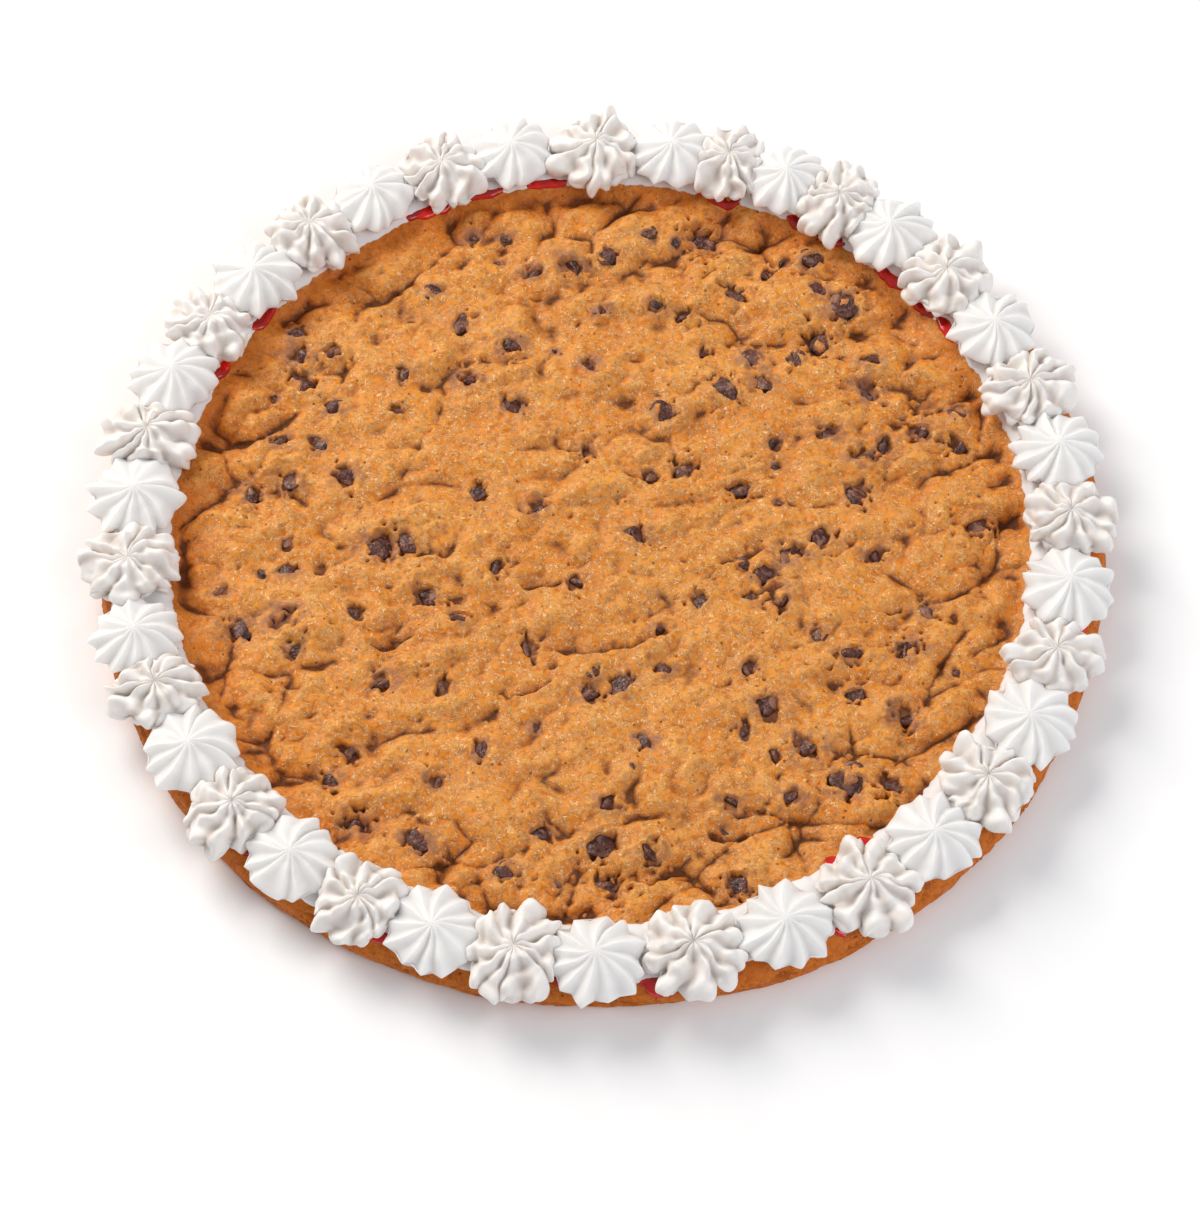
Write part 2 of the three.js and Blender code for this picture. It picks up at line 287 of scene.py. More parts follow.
@dataclass(frozen=True)
class Finish:
    """What every finish shares: a material whose patterns are measured in millimetres.

    Args:
        name: The material's name.
        ior: How strongly its surface bends light.
        roughness: How matte its shine is.
    """

    name: str
    ior: float
    roughness: float

    def material(self) -> bpy.types.Material:
        """Builds the material, or finds it if it was built before.

        Returns:
            The material.
        """
        found = bpy.data.materials.get(self.name)
        if found:
            return found
        material = bpy.data.materials.new(self.name)
        material.use_nodes = True
        tree = material.node_tree
        shader = tree.nodes["Principled BSDF"]
        self.tune(shader, {"IOR": self.ior, "Roughness": self.roughness})
        place = add_node(tree, "ShaderNodeTexCoord", out="Object")
        place = add_node(tree, "ShaderNodeMapping", {"Vector": place, "Scale": (1 / MM, 1 / MM, 1 / MM)})
        self.dress(tree, shader, place)
        return material

    def dress(self, tree: bpy.types.NodeTree, shader: bpy.types.Node, place: bpy.types.NodeSocket) -> None:
        """Adds the colour, bump and gloss that make this finish.

        Args:
            tree: The material's node tree.
            shader: Its main shader.
            place: Where each point is, in millimetres.
        """
        raise NotImplementedError

    @staticmethod
    def tune(shader: bpy.types.Node, values: dict[str, float | tuple]) -> None:
        """Sets the shader's own sockets, which are named in `values`."""
        for name, value in values.items():
            shader.inputs[name].default_value = value

    @staticmethod
    def paint(tree: bpy.types.NodeTree, shader: bpy.types.Node, ground: str,
              layers: list[tuple[bpy.types.NodeSocket, float, float, float, str]]) -> None:
        """Lays colours over each other, each where its pattern is strong, and gives the shader the result.

        Args:
            tree: The material's node tree.
            shader: Its main shader.
            ground: The colour under all the others.
            layers: The pattern, where it starts, where it is full, the share it covers there, and its colour.
        """
        colour = linear(ground)
        for pattern, start, full, share, tint in layers:
            inputs = {"Value": pattern, "From Min": start, "From Max": full, "To Max": share}
            covered = add_node(tree, "ShaderNodeMapRange", inputs, interpolation_type="SMOOTHSTEP")
            inputs = {MIX_SHARE: covered, MIX_UNDER: colour, MIX_OVER: linear(tint)}
            colour = add_node(tree, "ShaderNodeMix", inputs, out=MIX_COLOUR, data_type="RGBA")
        tree.links.new(colour, shader.inputs["Base Color"])

    @staticmethod
    def emboss(tree: bpy.types.NodeTree, shader: bpy.types.Node, strength: float,
               layers: list[tuple[bpy.types.NodeSocket, float]]) -> None:
        """Roughens the surface by a sum of patterns.

        Args:
            tree: The material's node tree.
            shader: Its main shader.
            strength: How strongly the relief shows.
            layers: Each pattern with its height in millimetres.
        """
        height = 0.0
        for pattern, size in layers:
            inputs = {0: pattern, 1: size * MM, 2: height}
            height = add_node(tree, "ShaderNodeMath", inputs, operation="MULTIPLY_ADD")
        inputs = {"Height": height, "Strength": strength, "Distance": 1.0}
        tree.links.new(add_node(tree, "ShaderNodeBump", inputs, out="Normal"), shader.inputs["Normal"])


@dataclass(frozen=True)
class BakedDough(Finish):
    """Cookie dough baked golden: a satin crust, finely crinkled, browner in its hollows, partly as painted
    shade, with painted highlights on its crinkles and raised places.
    """

    name: str = "baked_cookie_dough"
    ior: float = 1.45
    roughness: float = 0.5
    golden: str = "#e08a2c"
    pale_and_highlight: str = "#f1ab50"
    toasted_and_dip_shade: str = "#cb6605"
    browned_and_shaded: str = "#742f04"
    crevice_shade: str = "#3c1705"
    crinkle_highlight: str = "#ffd49a"
    crumb_mottle_and_shade: str = "#a35008"
    smeared: str = "#a87254"

    def dress(self, tree: bpy.types.NodeTree, shader: bpy.types.Node, place: bpy.types.NodeSocket) -> None:
        """Gives the eye a crinkled golden crust, toasted near the edge and brown where dough folds on dough,
        with painted highlights and painted shade in its dips.

        Args:
            tree: The material's node tree.
            shader: Its main shader.
            place: Where each point is, in millimetres.
        """
        hollow, raised_highlight, stain, toast = (
            add_node(tree, "ShaderNodeAttribute", out="Fac", attribute_name=mark)
            for mark in ("hollow", "raised_highlight", "stain", "toast"))
        # Uneven browning in patches of 20 mm, swellings of 4, the crumb of 2, and what the crinkles follow
        patches, swell, crumb, bends, pieces = (
            add_node(tree, "ShaderNodeTexNoise", {"Vector": place, "Scale": 1 / size, "Detail": detail,
                                                  "Roughness": rough, "Distortion": warp})
            for size, detail, rough, warp in (
                (20, 3.0, 0.5, 0.0), (4.2, 1.5, 0.5, 0.0), (1.8, 2.0, 0.55, 0.8),
                (2.5, 1.5, 0.5, 1.6), (1.5, 0.0, 0.5, 0.0)))
        # Winding crinkles, painted as pale highlights: the level lines of the bends, broken into pieces and
        # smoothed away where toasted
        level = add_node(tree, "ShaderNodeMath", {0: bends, 1: 0.06}, operation="PINGPONG")
        line = add_node(tree, "ShaderNodeMapRange", {"Value": level, "From Min": 0.031, "From Max": 0.045})
        kept = add_node(tree, "ShaderNodeMapRange", {"Value": pieces, "From Min": 0.4, "From Max": 0.5})
        fresh = add_node(tree, "ShaderNodeMapRange", {"Value": toast, "To Min": 1.0, "To Max": 0.15})
        crinkles = line
        for share in (kept, fresh):
            crinkles = add_node(tree, "ShaderNodeMath", {0: crinkles, 1: share}, operation="MULTIPLY")
        # Open pores, about 5 mm apart, painted dark as shade in the holes
        pores = add_node(tree, "ShaderNodeTexVoronoi", {"Vector": place, "Scale": 1 / 5.0, "Randomness": 1.0})
        pore = add_node(tree, "ShaderNodeMapRange", {"Value": pores, "From Min": 0.1, "From Max": 0.05})

        self.paint(tree, shader, self.golden, [
            (patches, 0.35, 0.7, 0.4, self.pale_and_highlight),
            (toast, 0.0, 1.0, 0.8, self.toasted_and_dip_shade),
            # Painted highlight: the raised places are paler
            (raised_highlight, 0.0, 1.0, 0.45, self.pale_and_highlight),
            # Painted shade in the dips of the swellings and the crumb, over some random mottling
            (swell, 0.56, 0.34, 0.35, self.toasted_and_dip_shade),
            (crumb, 0.53, 0.36, 0.5, self.crumb_mottle_and_shade),
            # Painted highlights along the crinkles
            (crinkles, 0.0, 1.0, 0.7, self.crinkle_highlight),
            # The hollows are browner, partly real browning and partly painted shade, darkest as painted shade
            # in the crevices
            (hollow, 0.15, 0.95, 0.68, self.browned_and_shaded),
            (hollow, 0.75, 1.0, 0.65, self.crevice_shade),
            (stain, 0.05, 0.85, 0.75, self.smeared),
            # Painted shade in the pores
            (pore, 0.0, 1.0, 0.7, self.browned_and_shaded),
        ])
        self.emboss(tree, shader, 0.9, [(crumb, 0.36), (crinkles, 0.2), (swell, 1.2), (pore, -0.4)])
        # The crust is full of pores, which swallow part of the shine
        self.tune(shader, {"Specular IOR Level": 0.3, "Subsurface Weight": 0.08,
                           "Subsurface Radius": (1.0, 0.5, 0.2), "Subsurface Scale": 1.5 * MM})


@dataclass(frozen=True)
class MilkChocolate(Finish):
    """Milk chocolate softened in the oven: satin, with a greyish bloom that also serves as painted
    highlights, and a film of dough here and there.
    """

    name: str = "milk_chocolate"
    ior: float = 1.45
    roughness: float = 0.2
    cocoa: str = "#5c3228"
    dark: str = "#37190f"
    bloom_and_highlight: str = "#a07468"
    film: str = "#a5745a"

    def dress(self, tree: bpy.types.NodeTree, shader: bpy.types.Node, place: bpy.types.NodeSocket) -> None:
        """Gives the eye purplish brown with soft highlights and dusty patches, which are partly painted
        highlights.

        Args:
            tree: The material's node tree.
            shader: Its main shader.
            place: Where each point is, in millimetres.
        """
        tone, dust_and_highlight, film, wrinkles = (
            add_node(tree, "ShaderNodeTexNoise", {"Vector": place, "Scale": 1 / size, "Detail": detail,
                                                  "Distortion": warp})
            for size, detail, warp in ((2.6, 3.0, 0.0), (1.7, 4.0, 1.2), (5.5, 3.0, 0.8), (1.5, 3.0, 1.5)))
        self.paint(tree, shader, self.cocoa, [
            (tone, 0.55, 0.35, 1.0, self.dark),
            # A greyish bloom, pale enough to serve as painted highlights
            (dust_and_highlight, 0.53, 0.7, 0.6, self.bloom_and_highlight),
            (film, 0.54, 0.66, 0.75, self.film),
        ])
        self.emboss(tree, shader, 0.9, [(wrinkles, 0.55)])


@dataclass(frozen=True)
class FruitGel(Finish):
    """Clear red piping gel: wet and glossy, deep red where thick."""

    name: str = "red_piping_gel"
    ior: float = 1.38
    roughness: float = 0.14
    deep: str = "#a80d08"
    bright: str = "#df160e"

    def dress(self, tree: bpy.types.NodeTree, shader: bpy.types.Node, place: bpy.types.NodeSocket) -> None:
        """Gives the eye a bright wet red with darker folds.

        Args:
            tree: The material's node tree.
            shader: Its main shader.
            place: Where each point is, in millimetres.
        """
        inputs = {"Vector": place, "Scale": 1 / 5.0, "Detail": 2.0, "Distortion": 0.6}
        streaks = add_node(tree, "ShaderNodeTexNoise", inputs)
        self.paint(tree, shader, self.bright, [(streaks, 0.62, 0.38, 1.0, self.deep)])
        self.emboss(tree, shader, 0.6, [(streaks, 0.5)])
        self.tune(shader, {"Coat Weight": 0.6, "Coat Roughness": 0.06, "Subsurface Weight": 0.2,
                           "Subsurface Radius": (1.0, 0.1, 0.1), "Subsurface Scale": 2 * MM})


@dataclass(frozen=True)
class WhippedIcing(Finish):
    """Whipped white icing: smooth satin fat and sugar that light sinks into a little, greyer in its grooves
    with painted shade.

    Args:
        crest: Colour of the ridges.
        grey_and_groove_shade: The painted shade of the valleys between them, also laid in random grey clouds.
        ripple: Height of its fine ripples, in millimetres.
        depth: How much of the light sinks in.
    """

    name: str = "whipped_icing"
    ior: float = 1.44
    roughness: float = 0.5
    crest: str = "#f4f0ec"
    grey_and_groove_shade: str = "#d2c8c0"
    ripple: float = 0.2
    depth: float = 0.35

    def dress(self, tree: bpy.types.NodeTree, shader: bpy.types.Node, place: bpy.types.NodeSocket) -> None:
        """Gives the eye soft white folds with a faint silkiness.

        Args:
            tree: The material's node tree.
            shader: Its main shader.
            place: Where each point is, in millimetres.
        """
        valley_shade = add_node(tree, "ShaderNodeAttribute", out="Fac", attribute_name="valley_shade")
        cloud, silk = (
            add_node(tree, "ShaderNodeTexNoise", {"Vector": place, "Scale": 1 / size, "Detail": 3.0,
                                                  "Distortion": warp})
            for size, warp in ((6.0, 0.0), (2.4, 0.5)))
        # Painted shade greys the valleys; random clouds grey the white a little
        self.paint(tree, shader, self.crest,
                   [(cloud, 0.6, 0.35, 0.25, self.grey_and_groove_shade), (valley_shade, 0.0, 1.0, 1.0, self.grey_and_groove_shade)])
        self.emboss(tree, shader, 0.8, [(silk, self.ripple)])
        self.tune(shader, {"Subsurface Weight": self.depth, "Subsurface Radius": (1.0, 0.95, 0.9),
                           "Subsurface Scale": 3.5 * MM})


@dataclass(frozen=True)
class PaperSweep(Finish):
    """Matt white backdrop paper for the studio floor."""

    name: str = "backdrop_paper"
    ior: float = 1.5
    roughness: float = 0.9
    white: str = "#fdfdfd"
    off_white: str = "#fafafa"

    def dress(self, tree: bpy.types.NodeTree, shader: bpy.types.Node, place: bpy.types.NodeSocket) -> None:
        """Gives the eye plain white with hardly a fibre to see.

        Args:
            tree: The material's node tree.
            shader: Its main shader.
            place: Where each point is, in millimetres.
        """
        fibre = add_node(tree, "ShaderNodeTexNoise", {"Vector": place, "Scale": 1 / 40.0, "Detail": 2.0})
        self.paint(tree, shader, self.white, [(fibre, 0.4, 0.6, 1.0, self.off_white)])


def write_marks(mesh: bpy.types.Mesh, marks: dict[str, np.ndarray]) -> None:
    """Writes named values onto a mesh's points, for its material to read."""
    for mark, values in marks.items():
        mesh.attributes.new(mark, "FLOAT", "POINT").data.foreach_set("value", values.astype(np.float32))


def mesh_piece(name: str, points: np.ndarray, faces: list, material: bpy.types.Material,
               marks: dict[str, np.ndarray] | None = None) -> bpy.types.Object:
    """Makes a smooth-shaded mesh object.

    Args:
        name: The object's name.
        points: Its points in millimetres, one a row.
        faces: The point numbers of each face, seen counter-clockwise from outside.
        material: What it is made of.
        marks: Named values for each point that its material reads.

    Returns:
        The object, linked into the scene.
    """
    mesh = bpy.data.meshes.new(name)
    mesh.from_pydata((points * MM).tolist(), [], faces)
    mesh.polygons.foreach_set("use_smooth", [True] * len(mesh.polygons))
    mesh.materials.append(material)
    write_marks(mesh, marks or {})
    mesh.update()
    piece = bpy.data.objects.new(name, mesh)
    bpy.context.scene.collection.objects.link(piece)
    return piece


def ring_faces(rows: int, columns: int, first: int = 0) -> np.ndarray:
    """Lists the quads between rows of points that each go once round.

    Args:
        rows: How many rows there are.
        columns: How many points each row has.
        first: The number of the first point.

    Returns:
        Four point numbers for each quad.
    """
    row, column = np.meshgrid(np.arange(rows - 1), np.arange(columns), indexing="ij")
    here = first + row * columns + column
    beside = first + row * columns + (column + 1) % columns
    return np.stack([here, beside, beside + columns, here + columns], -1).reshape(-1, 4)


def closed_faces(rows: int, columns: int, first: int) -> list[list[int]]:
    """Lists the faces of a closed form: rows of points, with one point before them and one after.

    Args:
        rows: How many rows there are.
        columns: How many points each row has.
        first: The number of the first row's first point.

    Returns:
        The point numbers of each face.
    """
    faces = ring_faces(rows, columns, first).tolist()
    foot, tip = first - 1, first + rows * columns
    last = tip - columns
    for step in range(columns):
        after = (step + 1) % columns
        faces.append([foot, first + after, first + step])
        faces.append([tip, last + step, last + after])
    return faces


@dataclass(frozen=True)
class Grid:
    """A square grid of points over the cookie's top.

    Args:
        reach: How far it goes from the centre, in millimetres.
        pitch: Millimetres from one point to the next.
    """

    reach: float = 134.0
    pitch: float = 0.4

    @property
    def count(self) -> int:
        """How many points it has each way."""
        return int(2 * self.reach / self.pitch) + 1

    @property
    def axis(self) -> np.ndarray:
        """The coordinate of each row or column."""
        return np.linspace(-self.reach, self.reach, self.count)

    def points(self) -> tuple[np.ndarray, np.ndarray]:
        """Gives every point's x and y.

        Returns:
            Two arrays, indexed by x and then by y.
        """
        return np.meshgrid(self.axis, self.axis, indexing="ij")

    def window(self, x: float, y: float, reach: float) -> tuple[slice, slice]:
        """Finds the part of the grid round a place.

        Args:
            x: The place's x.
            y: The place's y.
            reach: How far the part goes each way.

        Returns:
            The slices that cut it out.
        """
        def cut(centre: float) -> slice:
            """Gives the slice along one axis."""
            low = int((centre - reach + self.reach) / self.pitch)
            high = int((centre + reach + self.reach) / self.pitch) + 2
            return slice(max(0, min(low, self.count)), max(0, min(high, self.count)))

        return cut(x), cut(y)

    def sample(self, values: np.ndarray, x: np.ndarray, y: np.ndarray) -> np.ndarray:
        """Reads a field of the grid between its points.

        Args:
            values: The field.
            x: Where to read it.
            y: Where to read it.

        Returns:
            The value at each place.
        """
        u = np.clip((x + self.reach) / self.pitch, 0, self.count - 1.001)
        v = np.clip((y + self.reach) / self.pitch, 0, self.count - 1.001)
        i, j = u.astype(int), v.astype(int)
        u, v = u - i, v - j
        low = values[i, j] * (1 - u) + values[i + 1, j] * u
        high = values[i, j + 1] * (1 - u) + values[i + 1, j + 1] * u
        return low * (1 - v) + high * v

    def blurred(self, values: np.ndarray, spread: float) -> np.ndarray:
        """Averages a field over its neighbourhood.

        Args:
            values: The field.
            spread: How wide the average is, in millimetres.

        Returns:
            The smoother field.
        """
        taps = int(2.5 * spread / self.pitch)
        weights = np.exp(-0.5 * (np.arange(-taps, taps + 1) * self.pitch / spread) ** 2)
        weights /= weights.sum()
        for axis in (0, 1):
            padded = np.pad(values, [(taps, taps) if a == axis else (0, 0) for a in (0, 1)], mode="edge")
            slices = [[slice(None), slice(None)] for _ in weights]
            total = np.zeros_like(values)
            for shift, weight in enumerate(weights):
                slices[shift][axis] = slice(shift, shift + values.shape[axis])
                total += weight * padded[tuple(slices[shift])]
            values = total
        return values


@dataclass(frozen=True)
class LumpField:
    """Lumps of dough side by side, as long domes whose centres lie on a shaken lattice.

    Args:
        length: Millimetres from one lump to the next along the lumps.
        width: Millimetres from one lump to the next across them.
        turn: The lumps' direction, in degrees from +X.
        bulge: How steeply each falls away from its centre.
        lift: How much the lumps differ in height.
        blend: How softly one runs into the next.
        lattice: How many lumps there are each way from the centre.
        shake: How far they are shaken off the lattice, as a share of its spacing.
        first_draw: The first of the three draws that place them.
        ragged: How far small bends shift their edges, in millimetres.
    """

    length: float = 33.0
    width: float = 20.0
    turn: float = 18.0
    bulge: float = 8.5
    lift: float = 1.8
    blend: float = 0.42
    lattice: int = 10
    shake: float = 0.5
    first_draw: int = 1
    ragged: float = 0.0

    def heights(self, grid: Grid) -> tuple[np.ndarray, np.ndarray]:
        """Works out the lumps' surface.

        Args:
            grid: Where to work it out.

        Returns:
            The height of the lumps, and how far the second lump at each place lies under the first.
        """
        x, y = grid.points()
        if self.ragged:
            shift_x, shift_y = Noise(71, 9.0, 3).at(x, y), Noise(72, 9.0, 3).at(x, y)
            x, y = x + self.ragged * shift_x, y + self.ragged * shift_y
        # Slow bends keep the lumps from lying in straight rows
        bent_x = x + 3.2 * np.sin(0.083 * y + 0.7) + 1.9 * np.sin(0.151 * x - 0.11 * y)
        bent_y = y + 3.0 * np.sin(0.071 * x + 1.9) + 1.7 * np.sin(0.137 * y + 0.093 * x)
        turn = math.radians(self.turn)
        along, across = turned(bent_x, bent_y, turn)
        total = np.zeros(x.shape)
        first, second = np.full((2, *x.shape), -1e3)
        for row in range(-self.lattice, self.lattice + 1):
            for column in range(-self.lattice, self.lattice + 1):
                number = row * 40 + column
                shifts = [self.shake * (draw(number, self.first_draw + k) - 0.5) for k in (0, 1)]
                lump_along = (column + 0.5 * (abs(row) % 2) + shifts[0]) * self.length
                lump_across = (row + shifts[1]) * self.width
                part = grid.window(*turned(lump_along, lump_across, -turn), 1.5 * self.length + 7)
                if not along[part].size:
                    continue
                a = (along[part] - lump_along) / self.length
                b = (across[part] - lump_across) / self.width
                height = self.lift * (draw(number, self.first_draw + 2) - 0.5) - self.bulge * (a * a + b * b)
                total[part] += np.exp(height / self.blend)
                second[part] = np.maximum(second[part], np.minimum(first[part], height))
                first[part] = np.maximum(first[part], height)
        return self.blend * np.log(np.maximum(total, 1e-30)), first - second


@dataclass(frozen=True)
class Chip:
    """One chocolate chip in the dough.

    Args:
        x: Its place.
        y: Its place.
        width: How wide it shows, in millimetres.
        number: Which draws it takes.
    """

    x: float
    y: float
    width: float
    number: int

    @property
    def lip_side(self) -> float:
        """The direction from which dough laps over it, in radians."""
        return 2 * math.pi * draw(self.number, 61)


@dataclass
class ChipScatter:
    """Where the chips lie: those that show most, a sunflower spiral that keeps clear of them, and crumbs."""

    # The chips that show in the photograph, with their place and width in millimetres
    main: tuple = (
        (32, 109, 7.7), (76, 85, 8.3), (68, 71, 8.3), (-93, 56, 8.9), (37, 50, 8.3), (-75, 21, 7.1),
        (26, 23, 7.1), (98, 40, 7.7), (80, 27, 7.7), (76, 16, 7.7), (112, 6, 7.7), (58, -7, 8.3),
        (-66, -4, 8.3), (54, -19, 8.9), (-105, -29, 7.1), (-95, -26, 7.1), (7, -51, 7.1), (91, -39, 7.7),
        (48, -57, 7.1), (61, -69, 7.7), (72, -80, 8.9), (85, -81, 7.1), (-70, -96, 7.7), (0, -100, 8.9),
        (1, -115, 7.7), (40, -113, 7.1),
    )
    lesser: tuple = (
        (-39, 110, 4.2), (-9, 100, 6.5), (51, 97, 4.8), (65, 101, 5.9), (41, 88, 5.9), (-44, 78, 6.5),
        (-93, 73, 5.3), (-91, 66, 6.5), (26, 79, 5.3), (46, 64, 5.9), (51, 56, 5.9), (-39, 57, 5.9),
        (81, 53, 6.5), (52, 33, 5.9), (-62, 44, 4.8), (-97, 34, 5.3), (-85, 34, 5.3), (-92, 20, 5.9),
        (-106, 17, 6.5), (85, 34, 6.5), (110, 35, 7.1), (66, 1, 6.5), (-18, 9, 5.3), (10, -1, 6.5),
        (-6, -15, 5.9), (-51, -19, 6.5), (17, -31, 4.2), (-47, -50, 5.9), (74, -39, 6.5), (90, -59, 6.5),
        (54, -86, 5.3), (-72, -70, 5.9), (-33, -72, 5.9), (-17, -97, 5.3), (-27, -109, 5.9),
    )
    spread_count: int = 64
    spread_radius: float = 115.0
    spread_shift: float = 5.0
    small: float = 4.4
    large: float = 6.6
    clearance: float = 9.0
    crumb_count: int = 34
    crumb_radius: float = 118.0
    crumb_small: float = 2.2
    crumb_more: float = 2.0
    crumb_clearance: float = 6.0
    edge_radius: float = 119.0

    def chips(self) -> list[Chip]:
        """Lists the chips.

        Returns:
            Every chip, the largest first.
        """
        places = [Chip(x, y, width, n) for n, (x, y, width) in enumerate(self.main + self.lesser)]
        for number in range(self.spread_count):
            radius = self.spread_radius * math.sqrt((number + 0.5) / self.spread_count)
            angle = number * GOLDEN_ANGLE
            x = radius * math.cos(angle) + self.spread_shift * (2 * draw(number, 4) - 1)
            y = radius * math.sin(angle) + self.spread_shift * (2 * draw(number, 5) - 1)
            width = self.small + (self.large - self.small) * draw(number, 6)
            self._add(places, x, y, width, self.clearance)
        for number in range(self.crumb_count):
            radius = self.crumb_radius * math.sqrt(draw(number, 21))
            angle = 2 * math.pi * draw(number, 22)
            width = self.crumb_small + self.crumb_more * draw(number, 23)
            self._add(places, radius * math.cos(angle), radius * math.sin(angle), width, self.crumb_clearance)
        return places

    def _add(self, places: list[Chip], x: float, y: float, width: float, clearance: float) -> None:
        """Adds a chip unless it would crowd another or lie too near the icing.

        Args:
            places: The chips so far.
            x: Its place.
            y: Its place.
            width: How wide it shows.
            clearance: How far it has to be from every other chip.
        """
        clear = all(math.hypot(x - other.x, y - other.y) > clearance for other in places)
        if clear and math.hypot(x, y) <= self.edge_radius:
            places.append(Chip(x, y, width, len(places)))


@dataclass(frozen=True)
class Fold:
    """A crescent where one slump of dough rolled down against the next.

    Args:
        start: Its left end.
        end: Its right end.
        bow: How far it sags towards the front between them.
        depth: How deep the crack is.
    """

    start: tuple[float, float]
    end: tuple[float, float]
    bow: float
    depth: float

    def press(self, grid: Grid, x: np.ndarray, y: np.ndarray, height: np.ndarray) -> None:
        """Presses the fold into the dough.

        Args:
            grid: The grid that the dough is worked out on.
            x: Its points, slightly shaken.
            y: Its points, slightly shaken.
            height: The dough's height, which is changed.
        """
        start, end = np.array(self.start), np.array(self.end)
        middle, half = (start + end) / 2, np.linalg.norm(end - start) / 2
        along = (end - start) / (2 * half)
        part = grid.window(*middle, half + 12)
        dx, dy = x[part] - middle[0], y[part] - middle[1]
        t = (dx * along[0] + dy * along[1]) / half
        side = dy * along[0] - dx * along[1] + self.bow * (1 - t * t)
        taper = smoothstep(1 - np.abs(t), 0.0, 0.45)
        behind = -self.depth * np.exp(-np.maximum(side, 0) / 3.0)
        ahead = np.minimum(side, 0)
        before = 0.45 * self.depth * np.exp(ahead / 3.4) - self.depth * np.exp(ahead / 0.45)
        height[part] += taper * np.where(side > 0, behind, before)


